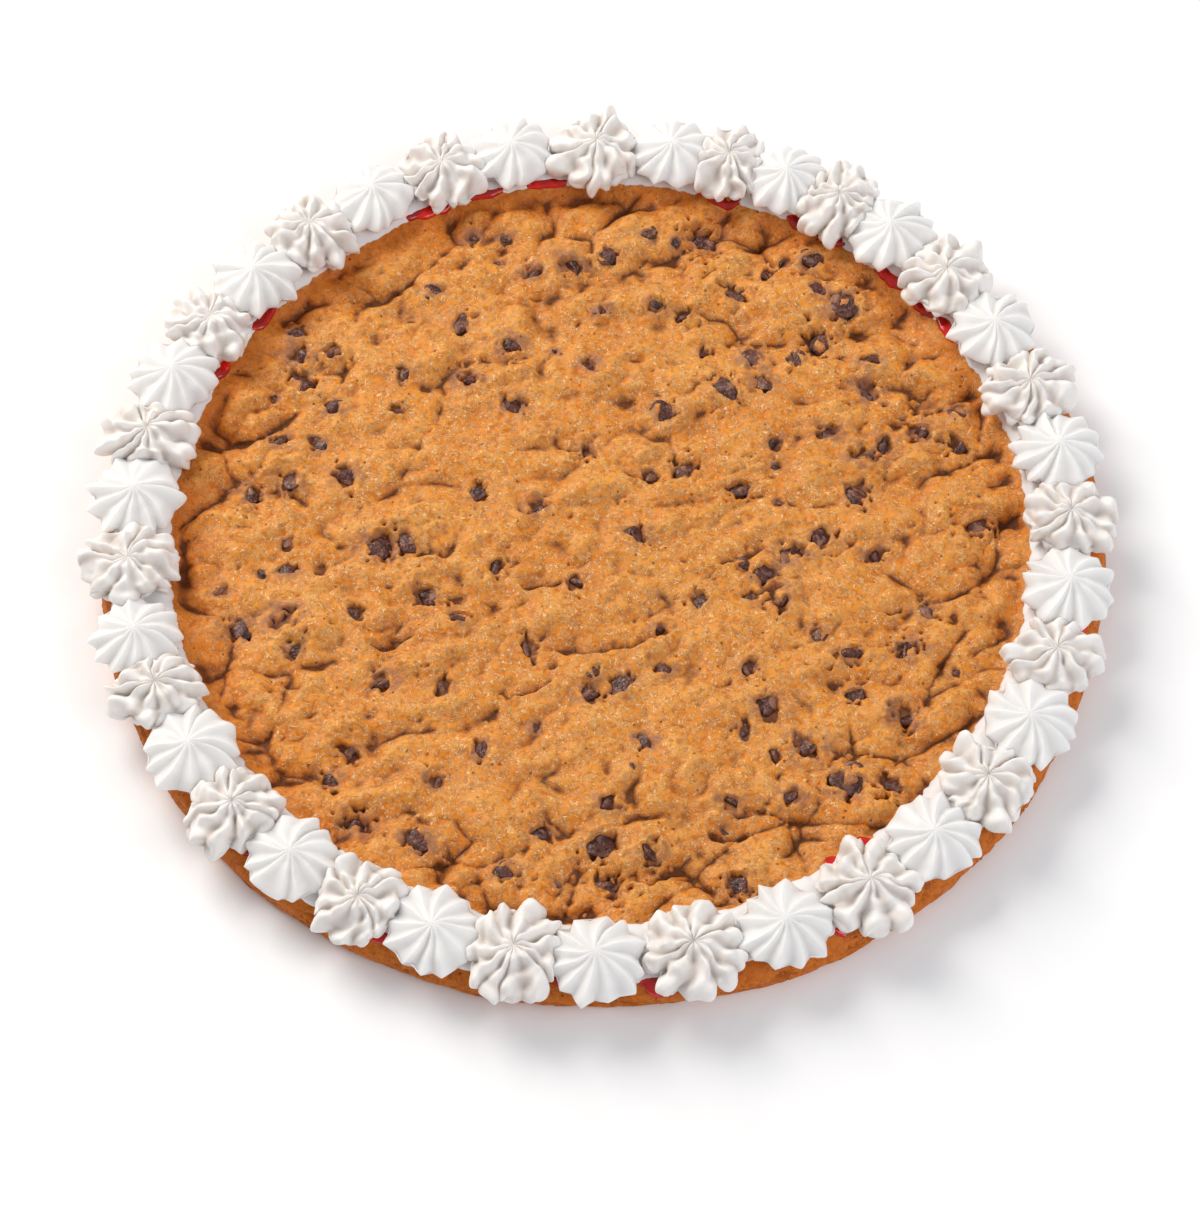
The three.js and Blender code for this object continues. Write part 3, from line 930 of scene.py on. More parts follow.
@dataclass
class DoughTop:
    """The cookie's top: its height, browning and chocolate smears at every point of a grid, with marks for
    painted shade in its hollows and painted light on its raised places.
    """

    grid: Grid = field(default_factory=Grid)
    centre_height: float = 11.3
    margin_height: float = 10.0
    relief_radius: float = 123.5
    margin_radius: float = 130.5
    edge_radius: float = 132.0
    dome_radius: float = 126.0
    rim_start: float = 82.0
    rim_full: float = 112.0
    grain: float = math.radians(24)
    calm_share: float = 0.55
    crack_depth: float = 0.95
    fold_count: int = 26
    fold_radius: float = 112.0
    dent_count: int = 80
    hole_count: int = 120
    dent_radius: float = 122.0
    # The longest folds in the photograph: the pixels of each one's left and right end
    folds: tuple = (
        (551, 441, 599, 436), (619, 469, 668, 465), (511, 577, 566, 573), (404, 551, 467, 538),
        (532, 641, 687, 616), (490, 690, 560, 668), (360, 640, 420, 622), (705, 560, 770, 536),
        (795, 660, 840, 656), (850, 680, 874, 664), (905, 730, 915, 690), (512, 507, 545, 505),
        (878, 604, 905, 600), (705, 820, 752, 824), (560, 868, 700, 858),
    )

    def shape(self, chips: list[Chip]) -> None:
        """Works out the height and the marks.

        Args:
            chips: The chips that lie in the dough.
        """
        x, y = self.grid.points()
        radius = np.hypot(x, y)
        share = radius / self.dome_radius
        fade = 1 - smoothstep(radius, self.relief_radius, self.margin_radius)
        dome = self.centre_height + (self.margin_height - self.centre_height) * share * share
        height = dome + fade * self._relief(x, y, radius)
        self._press_folds(x, y, height)
        self._press_dents(x, y, height, fade)
        stain = self._bed_chips(x, y, height, chips)

        broad, wide = (self.grid.blurred(height, spread) for spread in (1.8, 6.0))
        low = np.clip((broad - height - 0.1) / 0.8, 0, 1)
        self.height = height
        # Painted shade and light: hollow darkens places below their neighbourhood, partly as real browning,
        # and raised lightens places above it
        self.hollow = np.clip(0.95 * low + 0.4 * np.clip((wide - broad) / 1.2, 0, 1), 0, 1)
        self.raised_highlight = (np.clip((height - broad) / 0.5, 0, 1) * 0.4
                       + np.clip((broad - wide) / 0.9, 0, 1) * 0.7)
        self.stain = np.clip(stain, 0, 1)
        # The margin is toasted most at the back on the left, as in the photograph
        back_left = np.cos(np.arctan2(y, x) - math.radians(140))
        self.toast = smoothstep(radius, 104, 129) * (0.55 + 0.3 * back_left)

    def _relief(self, x: np.ndarray, y: np.ndarray, radius: np.ndarray) -> np.ndarray:
        """Works out the lumps of dough, the cracks between them and the puffs of the crust.

        Args:
            x: The grid's points.
            y: The grid's points.
            radius: How far they are from the centre.

        Returns:
            How far each point stands above the smooth dome.
        """
        rim = smoothstep(radius, self.rim_start, self.rim_full)
        front = 0.75 + 0.25 * np.cos(np.arctan2(y, x) + math.radians(60))
        lively = self.calm_share + (1 - self.calm_share) * smoothstep(radius / self.dome_radius, 0.35, 0.85)
        lumps, gap = LumpField(ragged=1.1).heights(self.grid)
        fine = LumpField(length=21, width=14, turn=24, bulge=6.5, lift=2.2, blend=0.2, lattice=12,
                         first_draw=31, ragged=1.3)
        small, small_gap = fine.heights(self.grid)
        cracked = smoothstep(Noise(5, 34, 2).at(x, y) + 0.75 * rim * front, 0.1, 0.5)
        small_share = rim * front * (0.2 + 0.8 * smoothstep(Noise(6, 26).at(x, y), -0.25, 0.3))
        # Where the crust isn't cracked, the lumps run softly into each other
        lumps = lumps * cracked + self.grid.blurred(lumps, 2.6) * (1 - cracked)
        small = 0.4 * small + 0.6 * self.grid.blurred(small, 1.5)
        cracks = cracked * np.exp(-((gap / 0.5) ** 1.3)) * lively
        small_cracks = 0.9 * np.exp(-small_gap / 2.0) + 0.6 * np.exp(-((small_gap / 0.3) ** 1.5))
        along, across = turned(x, y, self.grain)
        ridges = 1.1 * Noise(9, 11, 2).at(along / 2.0, across) * (1 - 0.6 * rim)
        # Puffs: domes that meet in soft creases, stronger here and weaker there
        strong = 0.45 + 0.55 * smoothstep(Noise(16, 26).at(x, y), -0.35, 0.35)
        puffs = strong * (np.sqrt(Noise(10, 12, 2).at(along / 1.25, across) ** 2 + 0.012) - 0.35)
        return (lumps * lively + 1.4 * small * small_share + ridges + 3.7 * puffs
                - self.crack_depth * cracks - self.crack_depth * (small_share * small_cracks)
                + 0.5 * Noise(7, 9, 3).at(x, y) + 0.2 * Noise(8, 3.4, 2).at(x, y))

    def level(self, x: np.ndarray, y: np.ndarray, radius: np.ndarray) -> np.ndarray:
        """Gives the top's height, which runs out level at its edge.

        Args:
            x: The places.
            y: The places.
            radius: How far they are from the centre.

        Returns:
            The height at each place.
        """
        edge = smoothstep(radius, self.edge_radius - 3, self.edge_radius)
        return self.grid.sample(self.height, x, y) * (1 - edge) + self.margin_height * edge

    def _press_folds(self, x: np.ndarray, y: np.ndarray, height: np.ndarray) -> None:
        """Presses the crescent folds into the dough.

        Args:
            x: The grid's points.
            y: The grid's points.
            height: The dough's height, which is changed.
        """
        shaken_x = x + 1.4 * Noise(11, 6, 2).at(x, y)
        shaken_y = y + 1.4 * Noise(12, 6, 2).at(x, y)
        for left, left_row, right, right_row in self.folds:
            start, end = photo_place(left, left_row), photo_place(right, right_row)
            fold = Fold(start, end, 0.1 * math.dist(start, end) + 1.2, 2.0)
            fold.press(self.grid, shaken_x, shaken_y, height)
        for number in range(self.fold_count):
            radius = self.fold_radius * math.sqrt((number + 0.5) / self.fold_count)
            angle = number * GOLDEN_ANGLE + 1.1
            turn = math.radians(18 + 60 * (draw(number, 41) - 0.5))
            half = 2.5 + 6.0 * draw(number, 42) ** 1.5
            middle_x, middle_y = radius * math.cos(angle), radius * math.sin(angle)
            reach_x, reach_y = half * math.cos(turn), half * math.sin(turn)
            fold = Fold((middle_x - reach_x, middle_y - reach_y), (middle_x + reach_x, middle_y + reach_y),
                        half * (0.15 + 0.3 * draw(number, 43)), 0.6 + 1.0 * draw(number, 44))
            fold.press(self.grid, shaken_x, shaken_y, height)

    def _press_dents(self, x: np.ndarray, y: np.ndarray, height: np.ndarray, fade: np.ndarray) -> None:
        """Presses the shallow dents and opens the small holes that steam left.

        Args:
            x: The grid's points.
            y: The grid's points.
            height: The dough's height, which is changed.
            fade: How much relief there is at each point.
        """
        for number in range(self.dent_count + self.hole_count):
            shallow = number < self.dent_count
            radius = self.dent_radius * math.sqrt(draw(number, 51))
            angle = 2 * math.pi * draw(number, 52)
            centre = (radius * math.cos(angle), radius * math.sin(angle))
            size = 1.3 + 1.6 * draw(number, 53) if shallow else 0.35 + 0.6 * draw(number, 53) ** 2
            turn = math.radians(20) + 1.6 * (draw(number, 54) - 0.5)
            part = self.grid.window(*centre, 5 * size)
            along, across = turned(x[part] - centre[0], y[part] - centre[1], turn)
            a, b = along / (1.8 * size), across / size
            depth = 0.32 * size if shallow else 1.5 * size
            height[part] -= depth * np.exp(-(a * a + b * b)) * fade[part]

    def _bed_chips(self, x: np.ndarray, y: np.ndarray, height: np.ndarray, chips: list[Chip]) -> np.ndarray:
        """Sinks a bed for each chip, draws a lip of dough over its one side and smears chocolate round it.

        Args:
            x: The grid's points.
            y: The grid's points.
            height: The dough's height, which is changed.
            chips: The chips.

        Returns:
            How much chocolate is smeared at each point.
        """
        stain = np.zeros(x.shape)
        bend = Noise(14, 2.6, 2).at(x, y)
        cloud = Noise(15, 3.6, 3).at(x, y)
        levels = self.grid.sample(height, np.array([c.x for c in chips]), np.array([c.y for c in chips]))
        self.beds = {chip.number: float(level) for chip, level in zip(chips, levels)}
        for chip in chips:
            part = self.grid.window(chip.x, chip.y, 1.9 * chip.width + 2)
            dx, dy = x[part] - chip.x, y[part] - chip.y
            away = np.hypot(dx, dy) / (0.5 * chip.width) * (1 + 0.55 * bend[part])
            toward = np.cos(np.arctan2(dy, dx) - chip.lip_side)
            covered = smoothstep(toward, -0.35, 0.7)
            edge = away + (0.4 + 0.75 * draw(chip.number, 66)) * covered
            bed = 1 - smoothstep(edge, 0.94, 1.24)
            lip = covered * np.exp(-(((edge - 1.42) / 0.32) ** 2))
            moat = (1 - covered) * np.exp(-(((away - 1.14) / 0.13) ** 2))
            level = self.beds[chip.number]
            if chip.width > 7 and draw(chip.number, 68) > 0.6:
                # A dab of dough is left on some of the widest
                dab = 1 - smoothstep(away, 0.3, 0.62)
                bed = bed * (1 - dab) - 0.06 * dab
            near = 1 - smoothstep(away, 1.2, 2.2)
            flat = height[part] * (1 - 0.5 * near) + level * 0.5 * near
            height[part] = flat - 0.3 * chip.width * bed + (0.4 + 0.08 * chip.width) * lip - 0.9 * moat
            off_x = dx + 0.2 * chip.width * math.cos(chip.lip_side)
            off_y = dy + 0.2 * chip.width * math.sin(chip.lip_side)
            smear = 1.3 * np.exp(-((np.hypot(0.75 * off_x, off_y) / (0.85 * chip.width)) ** 3))
            strength = 0.3 + 0.7 * draw(chip.number, 67)
            stain[part] = np.maximum(stain[part], strength * smear * np.clip(0.6 + 1.5 * cloud[part], 0, 1))
        return stain


@dataclass
class Cookie:
    """The thick round cookie, with its lumpy top, rounded side and flat foot."""

    top: DoughTop
    radius: float = 150.3
    foot_radius: float = 147.3
    steps: int = 560
    kept_share: float = 0.228
    edge_wave: float = 0.9
    edge_lean: float = 0.7
    edge_lean_angle: float = math.radians(-23)

    @property
    def net(self) -> np.ndarray:
        """The numbers of the top's points, in the rows and columns of its square net."""
        return np.arange((self.steps + 1) ** 2).reshape(self.steps + 1, self.steps + 1)

    def side(self) -> np.ndarray:
        """Gives the section of the side, from the top's edge to the foot.

        Returns:
            Radius and height, one point a row.
        """
        margin = self.top.margin_height
        return smooth_line([
            (self.top.edge_radius, margin), (self.radius - 13, margin), (self.radius - 4.8, margin - 0.1),
            (self.radius - 1.4, margin - 1.9), (self.radius - 0.2, margin * 0.5), (self.radius - 0.8, 1.7),
            (self.radius - 1.9, 0.4), (self.foot_radius, 0.0),
        ], 7)[1:]

    def build(self, finish: Finish) -> bpy.types.Object:
        """Builds the cookie.

        Args:
            finish: What it is made of.

        Returns:
            The cookie.
        """
        x, y, around = self._disc()
        rows = [np.stack([x, y, self.top.level(x, y, np.hypot(x, y))], 1)]
        angle = np.arctan2(y[around], x[around])
        rim_x, rim_y = polar(self.radius, angle)
        # The edge strays from a circle in long and short waves
        wave = (np.sin(5 * angle + 0.4) + 0.7 * np.sin(11 * angle + 2.1) + 0.5 * np.sin(23 * angle + 4)) / 2.2
        lean = self.edge_lean * np.cos(angle - self.edge_lean_angle)
        for radius, height in self.side():
            height = max(0.0, height)
            share = smoothstep(radius, self.radius - 6, self.radius - 2) if height > 0 else 0.4
            crust = Noise(81, 9, 3).at(rim_x + 3 * height, rim_y)
            split = self._split(rim_x, rim_y, np.full(angle.shape, height))
            reach = radius + share * (self.edge_wave * wave + lean + 0.7 * crust - 0.3 - 1.4 * split)
            droop = 0.35 * Noise(82, 14, 2).at(*polar(radius, angle)) * (height > 3)
            rows.append(np.stack([*polar(reach, angle), height + droop], 1))
        rows.append(np.array([[0.0, 0.0, 0.0]]))
        points = np.concatenate(rows)
        faces = self._disc_faces() + self._side_faces(around, len(x), len(rows) - 2)
        cookie = mesh_piece("cookie_baked", points, faces, finish.material())
        self._thin(cookie)
        self._mark(cookie)
        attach(cookie, BODY)
        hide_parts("cookie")
        return cookie

    @staticmethod
    def _split(x: np.ndarray, y: np.ndarray, z: np.ndarray) -> np.ndarray:
        """Tells how deep the side's winding, mostly level cracks are at each place.

        Args:
            x: The places.
            y: The places.
            z: Their heights.

        Returns:
            From 0 to 1.
        """
        level = Noise(83, 12, 3).at(x + 4.1 * z, y - 3.7 * z)
        broken = smoothstep(Noise(84, 16, 2).at(x, y + 2 * z), 0.0, 0.35)
        fine = Noise(85, 5, 3).at(x - 2.2 * z, y + 2.6 * z)
        deep = broken * np.exp(-((level / 0.13) ** 2)) + 0.4 * np.exp(-((fine / 0.1) ** 2))
        return np.clip(deep, 0, 1) * smoothstep(z, 0.8, 2.5)

    def _disc(self) -> tuple[np.ndarray, np.ndarray, np.ndarray]:
        """Spreads a square net evenly over the round top.

        Returns:
            The x and y of its points, and the numbers of those round its edge, counter-clockwise.
        """
        n = self.steps
        a, b = np.meshgrid(np.linspace(-1, 1, n + 1), np.linspace(-1, 1, n + 1), indexing="ij")
        wide = np.abs(a) > np.abs(b)
        with np.errstate(divide="ignore", invalid="ignore"):
            angle = np.where(wide, (np.pi / 4) * (b / a), np.pi / 2 - (np.pi / 4) * (a / b))
        angle = np.nan_to_num(angle)
        x, y = polar(self.top.edge_radius * np.where(wide, a, b), angle)
        net = self.net
        around = np.concatenate([net[n, :n], net[n:0:-1, n], net[0, n:0:-1], net[:n, 0]])
        return x.ravel(), y.ravel(), around

    def _disc_faces(self) -> list:
        """Lists the quads of the top's net.

        Returns:
            The faces.
        """
        net = self.net
        quads = np.stack([net[:-1, :-1], net[1:, :-1], net[1:, 1:], net[:-1, 1:]], -1)
        return quads.reshape(-1, 4).tolist()

    @staticmethod
    def _side_faces(around: np.ndarray, first: int, rows: int) -> list:
        """Lists the faces of the side and the foot.

        Args:
            around: The numbers of the points round the top's edge.
            first: The number of the side's first point.
            rows: How many rows of points the side has.

        Returns:
            The faces.
        """
        count = len(around)
        after = np.roll(around, -1)
        row = first + np.arange(count)
        faces = np.stack([around, row, np.roll(row, -1), after], -1).tolist()
        faces += ring_faces(rows, count, first)[:, ::-1].tolist()
        last = first + (rows - 1) * count + np.arange(count)
        middle = first + rows * count
        faces += np.stack([last, np.full(count, middle), np.roll(last, -1)], -1).tolist()
        return faces

    def _thin(self, cookie: bpy.types.Object) -> None:
        """Drops the points that the flatter places don't need.

        Args:
            cookie: The cookie.
        """
        modifier = cookie.modifiers.new("thin", "DECIMATE")
        modifier.ratio = self.kept_share
        graph = bpy.context.evaluated_depsgraph_get()
        mesh = bpy.data.meshes.new_from_object(cookie.evaluated_get(graph))
        cookie.modifiers.remove(modifier)
        for vertex in mesh.vertices:
            vertex.co.z = max(vertex.co.z, 0.0)
        mesh.name = "cookie_baked"
        cookie.data = mesh

    def _mark(self, cookie: bpy.types.Object) -> None:
        """Writes onto each point what the dough's finish reads there.

        Args:
            cookie: The cookie.
        """
        mesh = cookie.data
        places = np.zeros(len(mesh.vertices) * 3)
        mesh.vertices.foreach_get("co", places)
        x, y, z = places.reshape(-1, 3).T / MM
        radius = np.hypot(x, y)
        inside = radius < self.top.edge_radius - 1
        values = {name: np.where(inside, self.top.grid.sample(getattr(self.top, name), x, y), 0)
                  for name in ("hollow", "raised_highlight", "stain", "toast")}
        around = self.radius / np.maximum(radius, 1)
        split = self._split(x * around, y * around, z)
        values["toast"] = np.where(inside, values["toast"], 1.0)
        # On the side the dough is darker towards the foot, with painted shade in its cracks
        values["hollow"] = np.where(inside, values["hollow"], 0.3 * smoothstep(-z, -8, 0) + 0.7 * split)
        write_marks(mesh, values)
        log.info("cookie: %d points", len(mesh.vertices))


@dataclass
class ChocolateChips:
    """The chips, each a squat drop at its own tilt, sunk in its bed up to the dough's own level."""

    top: DoughTop
    around: int = 26
    levels: int = 14
    size_share: float = 1.26
    sunk: float = 0.2
    squash: float = 0.55
    # A chip's outline from the middle of its foot to its tip, as shares of its size
    section: tuple = ((0.36, 0.0), (0.48, 0.05), (0.5, 0.14), (0.42, 0.27), (0.24, 0.42), (0.09, 0.55))

    def build(self, chips: list[Chip], finish: Finish) -> bpy.types.Object:
        """Builds all the chips as one piece.

        Args:
            chips: The chips.
            finish: What they are made of.

        Returns:
            The chips.
        """
        points, faces = [], []
        for chip in chips:
            start = sum(len(p) for p in points)
            points.append(self._drop(chip))
            faces += closed_faces(self.levels, self.around, start + 1)
        piece = mesh_piece("chocolate_chips", np.concatenate(points), faces, finish.material())
        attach(piece, BODY)
        log.info("chips: %d", len(chips))
        return piece

    def _drop(self, chip: Chip) -> np.ndarray:
        """Shapes one chip where it lies.

        Args:
            chip: The chip.

        Returns:
            Its points, foot first and tip last.
        """
        size = self.size_share * chip.width
        section = smooth_line(list(self.section), 3)
        section = section[np.linspace(0, len(section) - 1, self.levels).astype(int)]
        angle = np.linspace(0, 2 * np.pi, self.around, endpoint=False)
        dents = Noise(90 + chip.number % 7, 1.4)
        rows = [np.array([[0.0, 0.0, 0.0]])]
        for radius, height in section:
            dent = 1 + 0.16 * dents.at(np.cos(angle) + chip.number, np.sin(angle) + 4 * height)
            reach = radius * dent * (1 + 0.06 * np.cos(3 * angle + chip.number))
            rows.append(np.stack([*polar(reach, angle), np.full(angle.shape, height)], 1))
        rows.append(np.array([[0.02, 0.0, 0.6]]))
        x, y, z = (np.concatenate(rows) * size).T
        tilt = math.pi * (0.15 + 0.5 * draw(chip.number, 62)) * (1 if draw(chip.number, 63) > 0.3 else 1.8)
        y, z = turned(y, z - self.sunk * size, -tilt)
        x, y = turned(x, y, -2 * math.pi * draw(chip.number, 64))
        # A softened chip keeps its outline but not its height, and has folds
        z = self.squash * z + 0.3 * Noise(97, 2.8).at(x + 5 * chip.number, y)
        stands = 0.7 * draw(chip.number, 65) - 0.45
        lift = self.top.beds[chip.number] + stands - z.max()
        return np.stack([x, y, z], 1) + np.array([chip.x, chip.y, lift])


class Piping(Enum):
    """The two kinds of rosette that take turns round the border."""

    SOFT = "soft"
    CRISP = "crisp"


@dataclass(frozen=True)
class Stroke:
    """How one kind of rosette comes out of the star tip.

    Args:
        radius: How far its ridges reach, in millimetres.
        lobes: How many ridges it has.
        turn: How far the ridges swirl from foot to tip, in radians.
        section: Its outline from the foot to the tip, as shares of its radius and height.
        grooves: How deep the valleys are in millimetres, each with the share of the radius where they are.
        fade: How much shallower than that the faintest valley is, as a share.
        uneven: How far its ridges stray from even spacing.
        lengths: How much its ridges differ in length, as a share of its radius.
        bead: Height of the swellings along its ridges, in millimetres.
        wobble: How far its ridges wind from side to side, in millimetres.
    """

    radius: float
    lobes: int
    turn: float
    section: tuple
    grooves: tuple
    fade: float
    uneven: float
    lengths: float
    bead: float
    wobble: float


STROKES = {
    Piping.SOFT: Stroke(
        radius=15.4, lobes=11, turn=0.1, uneven=0.3, lengths=0.26, bead=2.7, wobble=2.9, fade=0.45,
        section=((0.82, -0.08), (0.88, 0.0), (0.96, 0.1), (1.0, 0.25), (0.985, 0.42), (0.9, 0.62),
                 (0.75, 0.79), (0.55, 0.9), (0.36, 0.97), (0.2, 1.0), (0.09, 0.96), (0.02, 0.9)),
        grooves=((0.0, 0.2), (0.1, 0.9), (0.25, 1.8), (0.5, 2.8), (0.8, 3.4), (1.0, 3.4)),
    ),
    Piping.CRISP: Stroke(
        radius=14.4, lobes=12, turn=0.15, uneven=0.3, lengths=0.16, bead=0.3, wobble=1.0, fade=0.6,
        section=((0.8, -0.08), (0.85, 0.0), (0.9, 0.08), (0.97, 0.17), (1.0, 0.27), (0.98, 0.39),
                 (0.89, 0.55), (0.7, 0.735), (0.46, 0.86), (0.25, 0.93), (0.13, 0.985), (0.04, 1.0)),
        grooves=((0.0, 0.1), (0.12, 0.5), (0.3, 1.2), (0.5, 1.8), (0.8, 2.5), (1.0, 3.2)),
    ),
}


@dataclass
class Rosette:
    """One piped rosette: ridges of icing drawn in from the foot to a small peak.

    Args:
        number: Its place in the ring, clockwise from the back.
        angle: Where it stands, in radians.
        piping: Which kind it is.
        room: How far it can spread along the ring before it meets its neighbours, clockwise and back.
    """

    number: int
    angle: float
    piping: Piping
    room: tuple[float, float]
    ring_radius: float = 139.8
    height: float = 9.0
    foot_level: float = 12.1
    per_lobe: int = 13
    per_span: int = 4
    firm_share: float = 0.55
    wander: float = 1.6
    most_lean: float = 0.1

    def build(self, finish: Finish) -> bpy.types.Object:
        """Builds the rosette where it stands.

        Args:
            finish: What it is made of.

        Returns:
            The rosette.
        """
        points, valley_shade = self._surface()
        columns = STROKES[self.piping].lobes * self.per_lobe
        rows = len(points) // columns
        foot = np.array([[0.0, 0.0, points[0, 2]]])
        tip = np.array([[*points[-columns:, :2].mean(0), points[-columns:, 2].mean()]])
        points = np.concatenate([foot, points, tip])
        marks = {"valley_shade": np.concatenate([[0.0], valley_shade, [valley_shade[-columns:].mean()]])}
        piece = mesh_piece(f"piped_rosette_{self.number + 1:02d}", self._stand(points),
                           closed_faces(rows, columns, 1), finish.material(), marks)
        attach(piece, BODY)
        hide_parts(f"rosette_{self.number + 1:02d}")
        return piece

    def _surface(self) -> tuple[np.ndarray, np.ndarray]:
        """Shapes the rosette round its own axis.

        Returns:
            Its points, row by row from the foot up, and how deep in a valley each lies, for painted shade
            there.
        """
        stroke = STROKES[self.piping]
        n = self.number
        radius = stroke.radius * (0.96 + 0.08 * draw(n, 9))
        height = self.height * (0.94 + 0.12 * draw(n, 10))
        section = smooth_line(list(stroke.section), self.per_span)
        line = section * np.array([radius, height])
        slope = np.gradient(line, axis=0)
        slope /= np.linalg.norm(slope, axis=1, keepdims=True)
        out = np.stack([slope[:, 1], -slope[:, 0]], 1)

        across, theta, strength, shallow = self._columns()
        share, rise = section[:, 0][:, None], section[:, 1][:, None]
        ridge = self._ridge(across[None, :], share)
        depth = np.interp(section[:, 0], *zip(*stroke.grooves))[:, None] * shallow[None, :]
        swell = stroke.lengths * radius * (strength - 0.65)[None, :] * ridge**0.7 * share**3
        # Seen from above, so that the pattern closes on itself
        flat_x, flat_y = polar(radius * share, theta)
        foot = np.minimum(rise, 0.3)
        beads = Noise(100 + n, 4.3).at(flat_x + 9 * foot, flat_y - 7 * foot)
        push = swell - depth * (1 - ridge) + stroke.bead * beads * np.minimum(1, 4 * share)
        winding = Noise(150 + n, 8.0).at(flat_x, flat_y)
        swirl = (stroke.turn * rise + stroke.wobble * winding / radius * smoothstep(share, 0, 0.5)
                 + 0.2 * (1 - share) ** 2)
        reach = np.maximum(line[:, 0][:, None] + out[:, 0][:, None] * push, 0.02)
        level = line[:, 1][:, None] + out[:, 1][:, None] * push
        # The source's solids count their lobes from the same line
        bearing = theta[None, :] - np.pi / 2 + swirl + 2 * np.pi * draw(n, 11)
        points = np.stack([*polar(reach, bearing), level], -1).reshape(-1, 3)
        # Painted shade: the deeper in a valley and the further out, the greyer the finish paints the point
        valley_shade = np.clip((1 - ridge) ** 1.4 * (0.45 + 0.55 * share), 0, 1)
        return points, valley_shade.ravel()

    def _columns(self) -> tuple[np.ndarray, np.ndarray, np.ndarray, np.ndarray]:
        """Spreads the columns of points over the ridges.

        Returns:
            For each column, how far across its ridge it lies from -1 to 1, its angle in radians, how strong
            its ridge is, and the share of the valley's depth beside it.
        """
        stroke = STROKES[self.piping]
        lobe = np.repeat(np.arange(stroke.lobes), self.per_lobe)
        across = np.tile(np.arange(self.per_lobe) / self.per_lobe * 2 - 1, stroke.lobes)
        across = np.sign(across) * np.abs(across) ** (1.3 if self.piping is Piping.CRISP else 1.0)
        numbers = [self.number * 17 + lobe for lobe in range(stroke.lobes)]
        spot, strength, faint = (np.array([draw(n, purpose) for n in numbers]) for purpose in (71, 72, 73))
        centre = (np.arange(stroke.lobes) + stroke.uneven * 2 * (spot - 0.5)) * 2 * np.pi / stroke.lobes
        # The seams lie half way between neighbouring ridges
        seam_after = (centre + np.append(centre[1:], centre[0] + 2 * np.pi)) / 2
        seam_before = np.append(seam_after[-1] - 2 * np.pi, seam_after[:-1])
        reach_after, reach_before = (seam_after - centre)[lobe], (centre - seam_before)[lobe]
        theta = centre[lobe] + np.where(across > 0, across * reach_after, across * reach_before)
        shallow = 1 - stroke.fade * faint
        return across, theta, strength[lobe], np.where(across > 0, shallow[lobe], shallow[lobe - 1])

    def _ridge(self, across: np.ndarray, share: np.ndarray) -> np.ndarray:
        """Gives the section across one ridge, which changes towards its end.

        Args:
            across: From -1 at the seam before the ridge to 1 at the seam after it, with 0 on the ridge.
            share: How far out it is, as a share of the radius.

        Returns:
            1 on the ridge and 0 in the seam.
        """
        away = np.abs(across)
        end = smoothstep(share, 0.72, 0.98)
        if self.piping is Piping.SOFT:
            return (1 - end) * (0.5 + 0.5 * np.cos(np.pi * away)) ** 0.9 + end * (1 - away**2) ** 0.85
        return (1 - end) * (0.8 * (1 - away) ** 2.2 + 0.2 * (1 - away**2)) + end * (1 - away) ** 1.15

    def _stand(self, points: np.ndarray) -> np.ndarray:
        """Presses the rosette between its neighbours, leans it a little and stands it on the ring.

        Args:
            points: Its points round its own axis.

        Returns:
            Its points on the cookie.
        """
        n = self.number
        out = np.array([math.cos(self.angle), math.sin(self.angle)])
        along = np.array([-out[1], out[0]])
        side, deep = points[:, :2] @ along, points[:, :2] @ out
        radius = STROKES[self.piping].radius
        room = np.minimum(np.where(side > 0, self.room[1], self.room[0]), radius)
        kept = self.firm_share * room
        pressed = kept + (np.abs(side) - kept) * (room - kept) / np.maximum(radius - kept, 1)
        side = np.where((np.abs(side) > kept) & (room < radius), np.sign(side) * pressed, side)
        lean = [self.most_lean * (draw(n, purpose) - 0.5) for purpose in (74, 75)]
        ring = self.ring_radius + self.wander * (draw(n, 12) - 0.5)
        flat = np.outer(side, along) + np.outer(deep + ring, out)
        flat += np.outer(points[:, 2], lean)
        placed = np.column_stack([flat, points[:, 2] + self.foot_level])
        # Nothing may stand out past the part's own box
        low, high = (np.array(corner) / MM for corner in cad_bounds)
        return np.clip(placed, low, high)


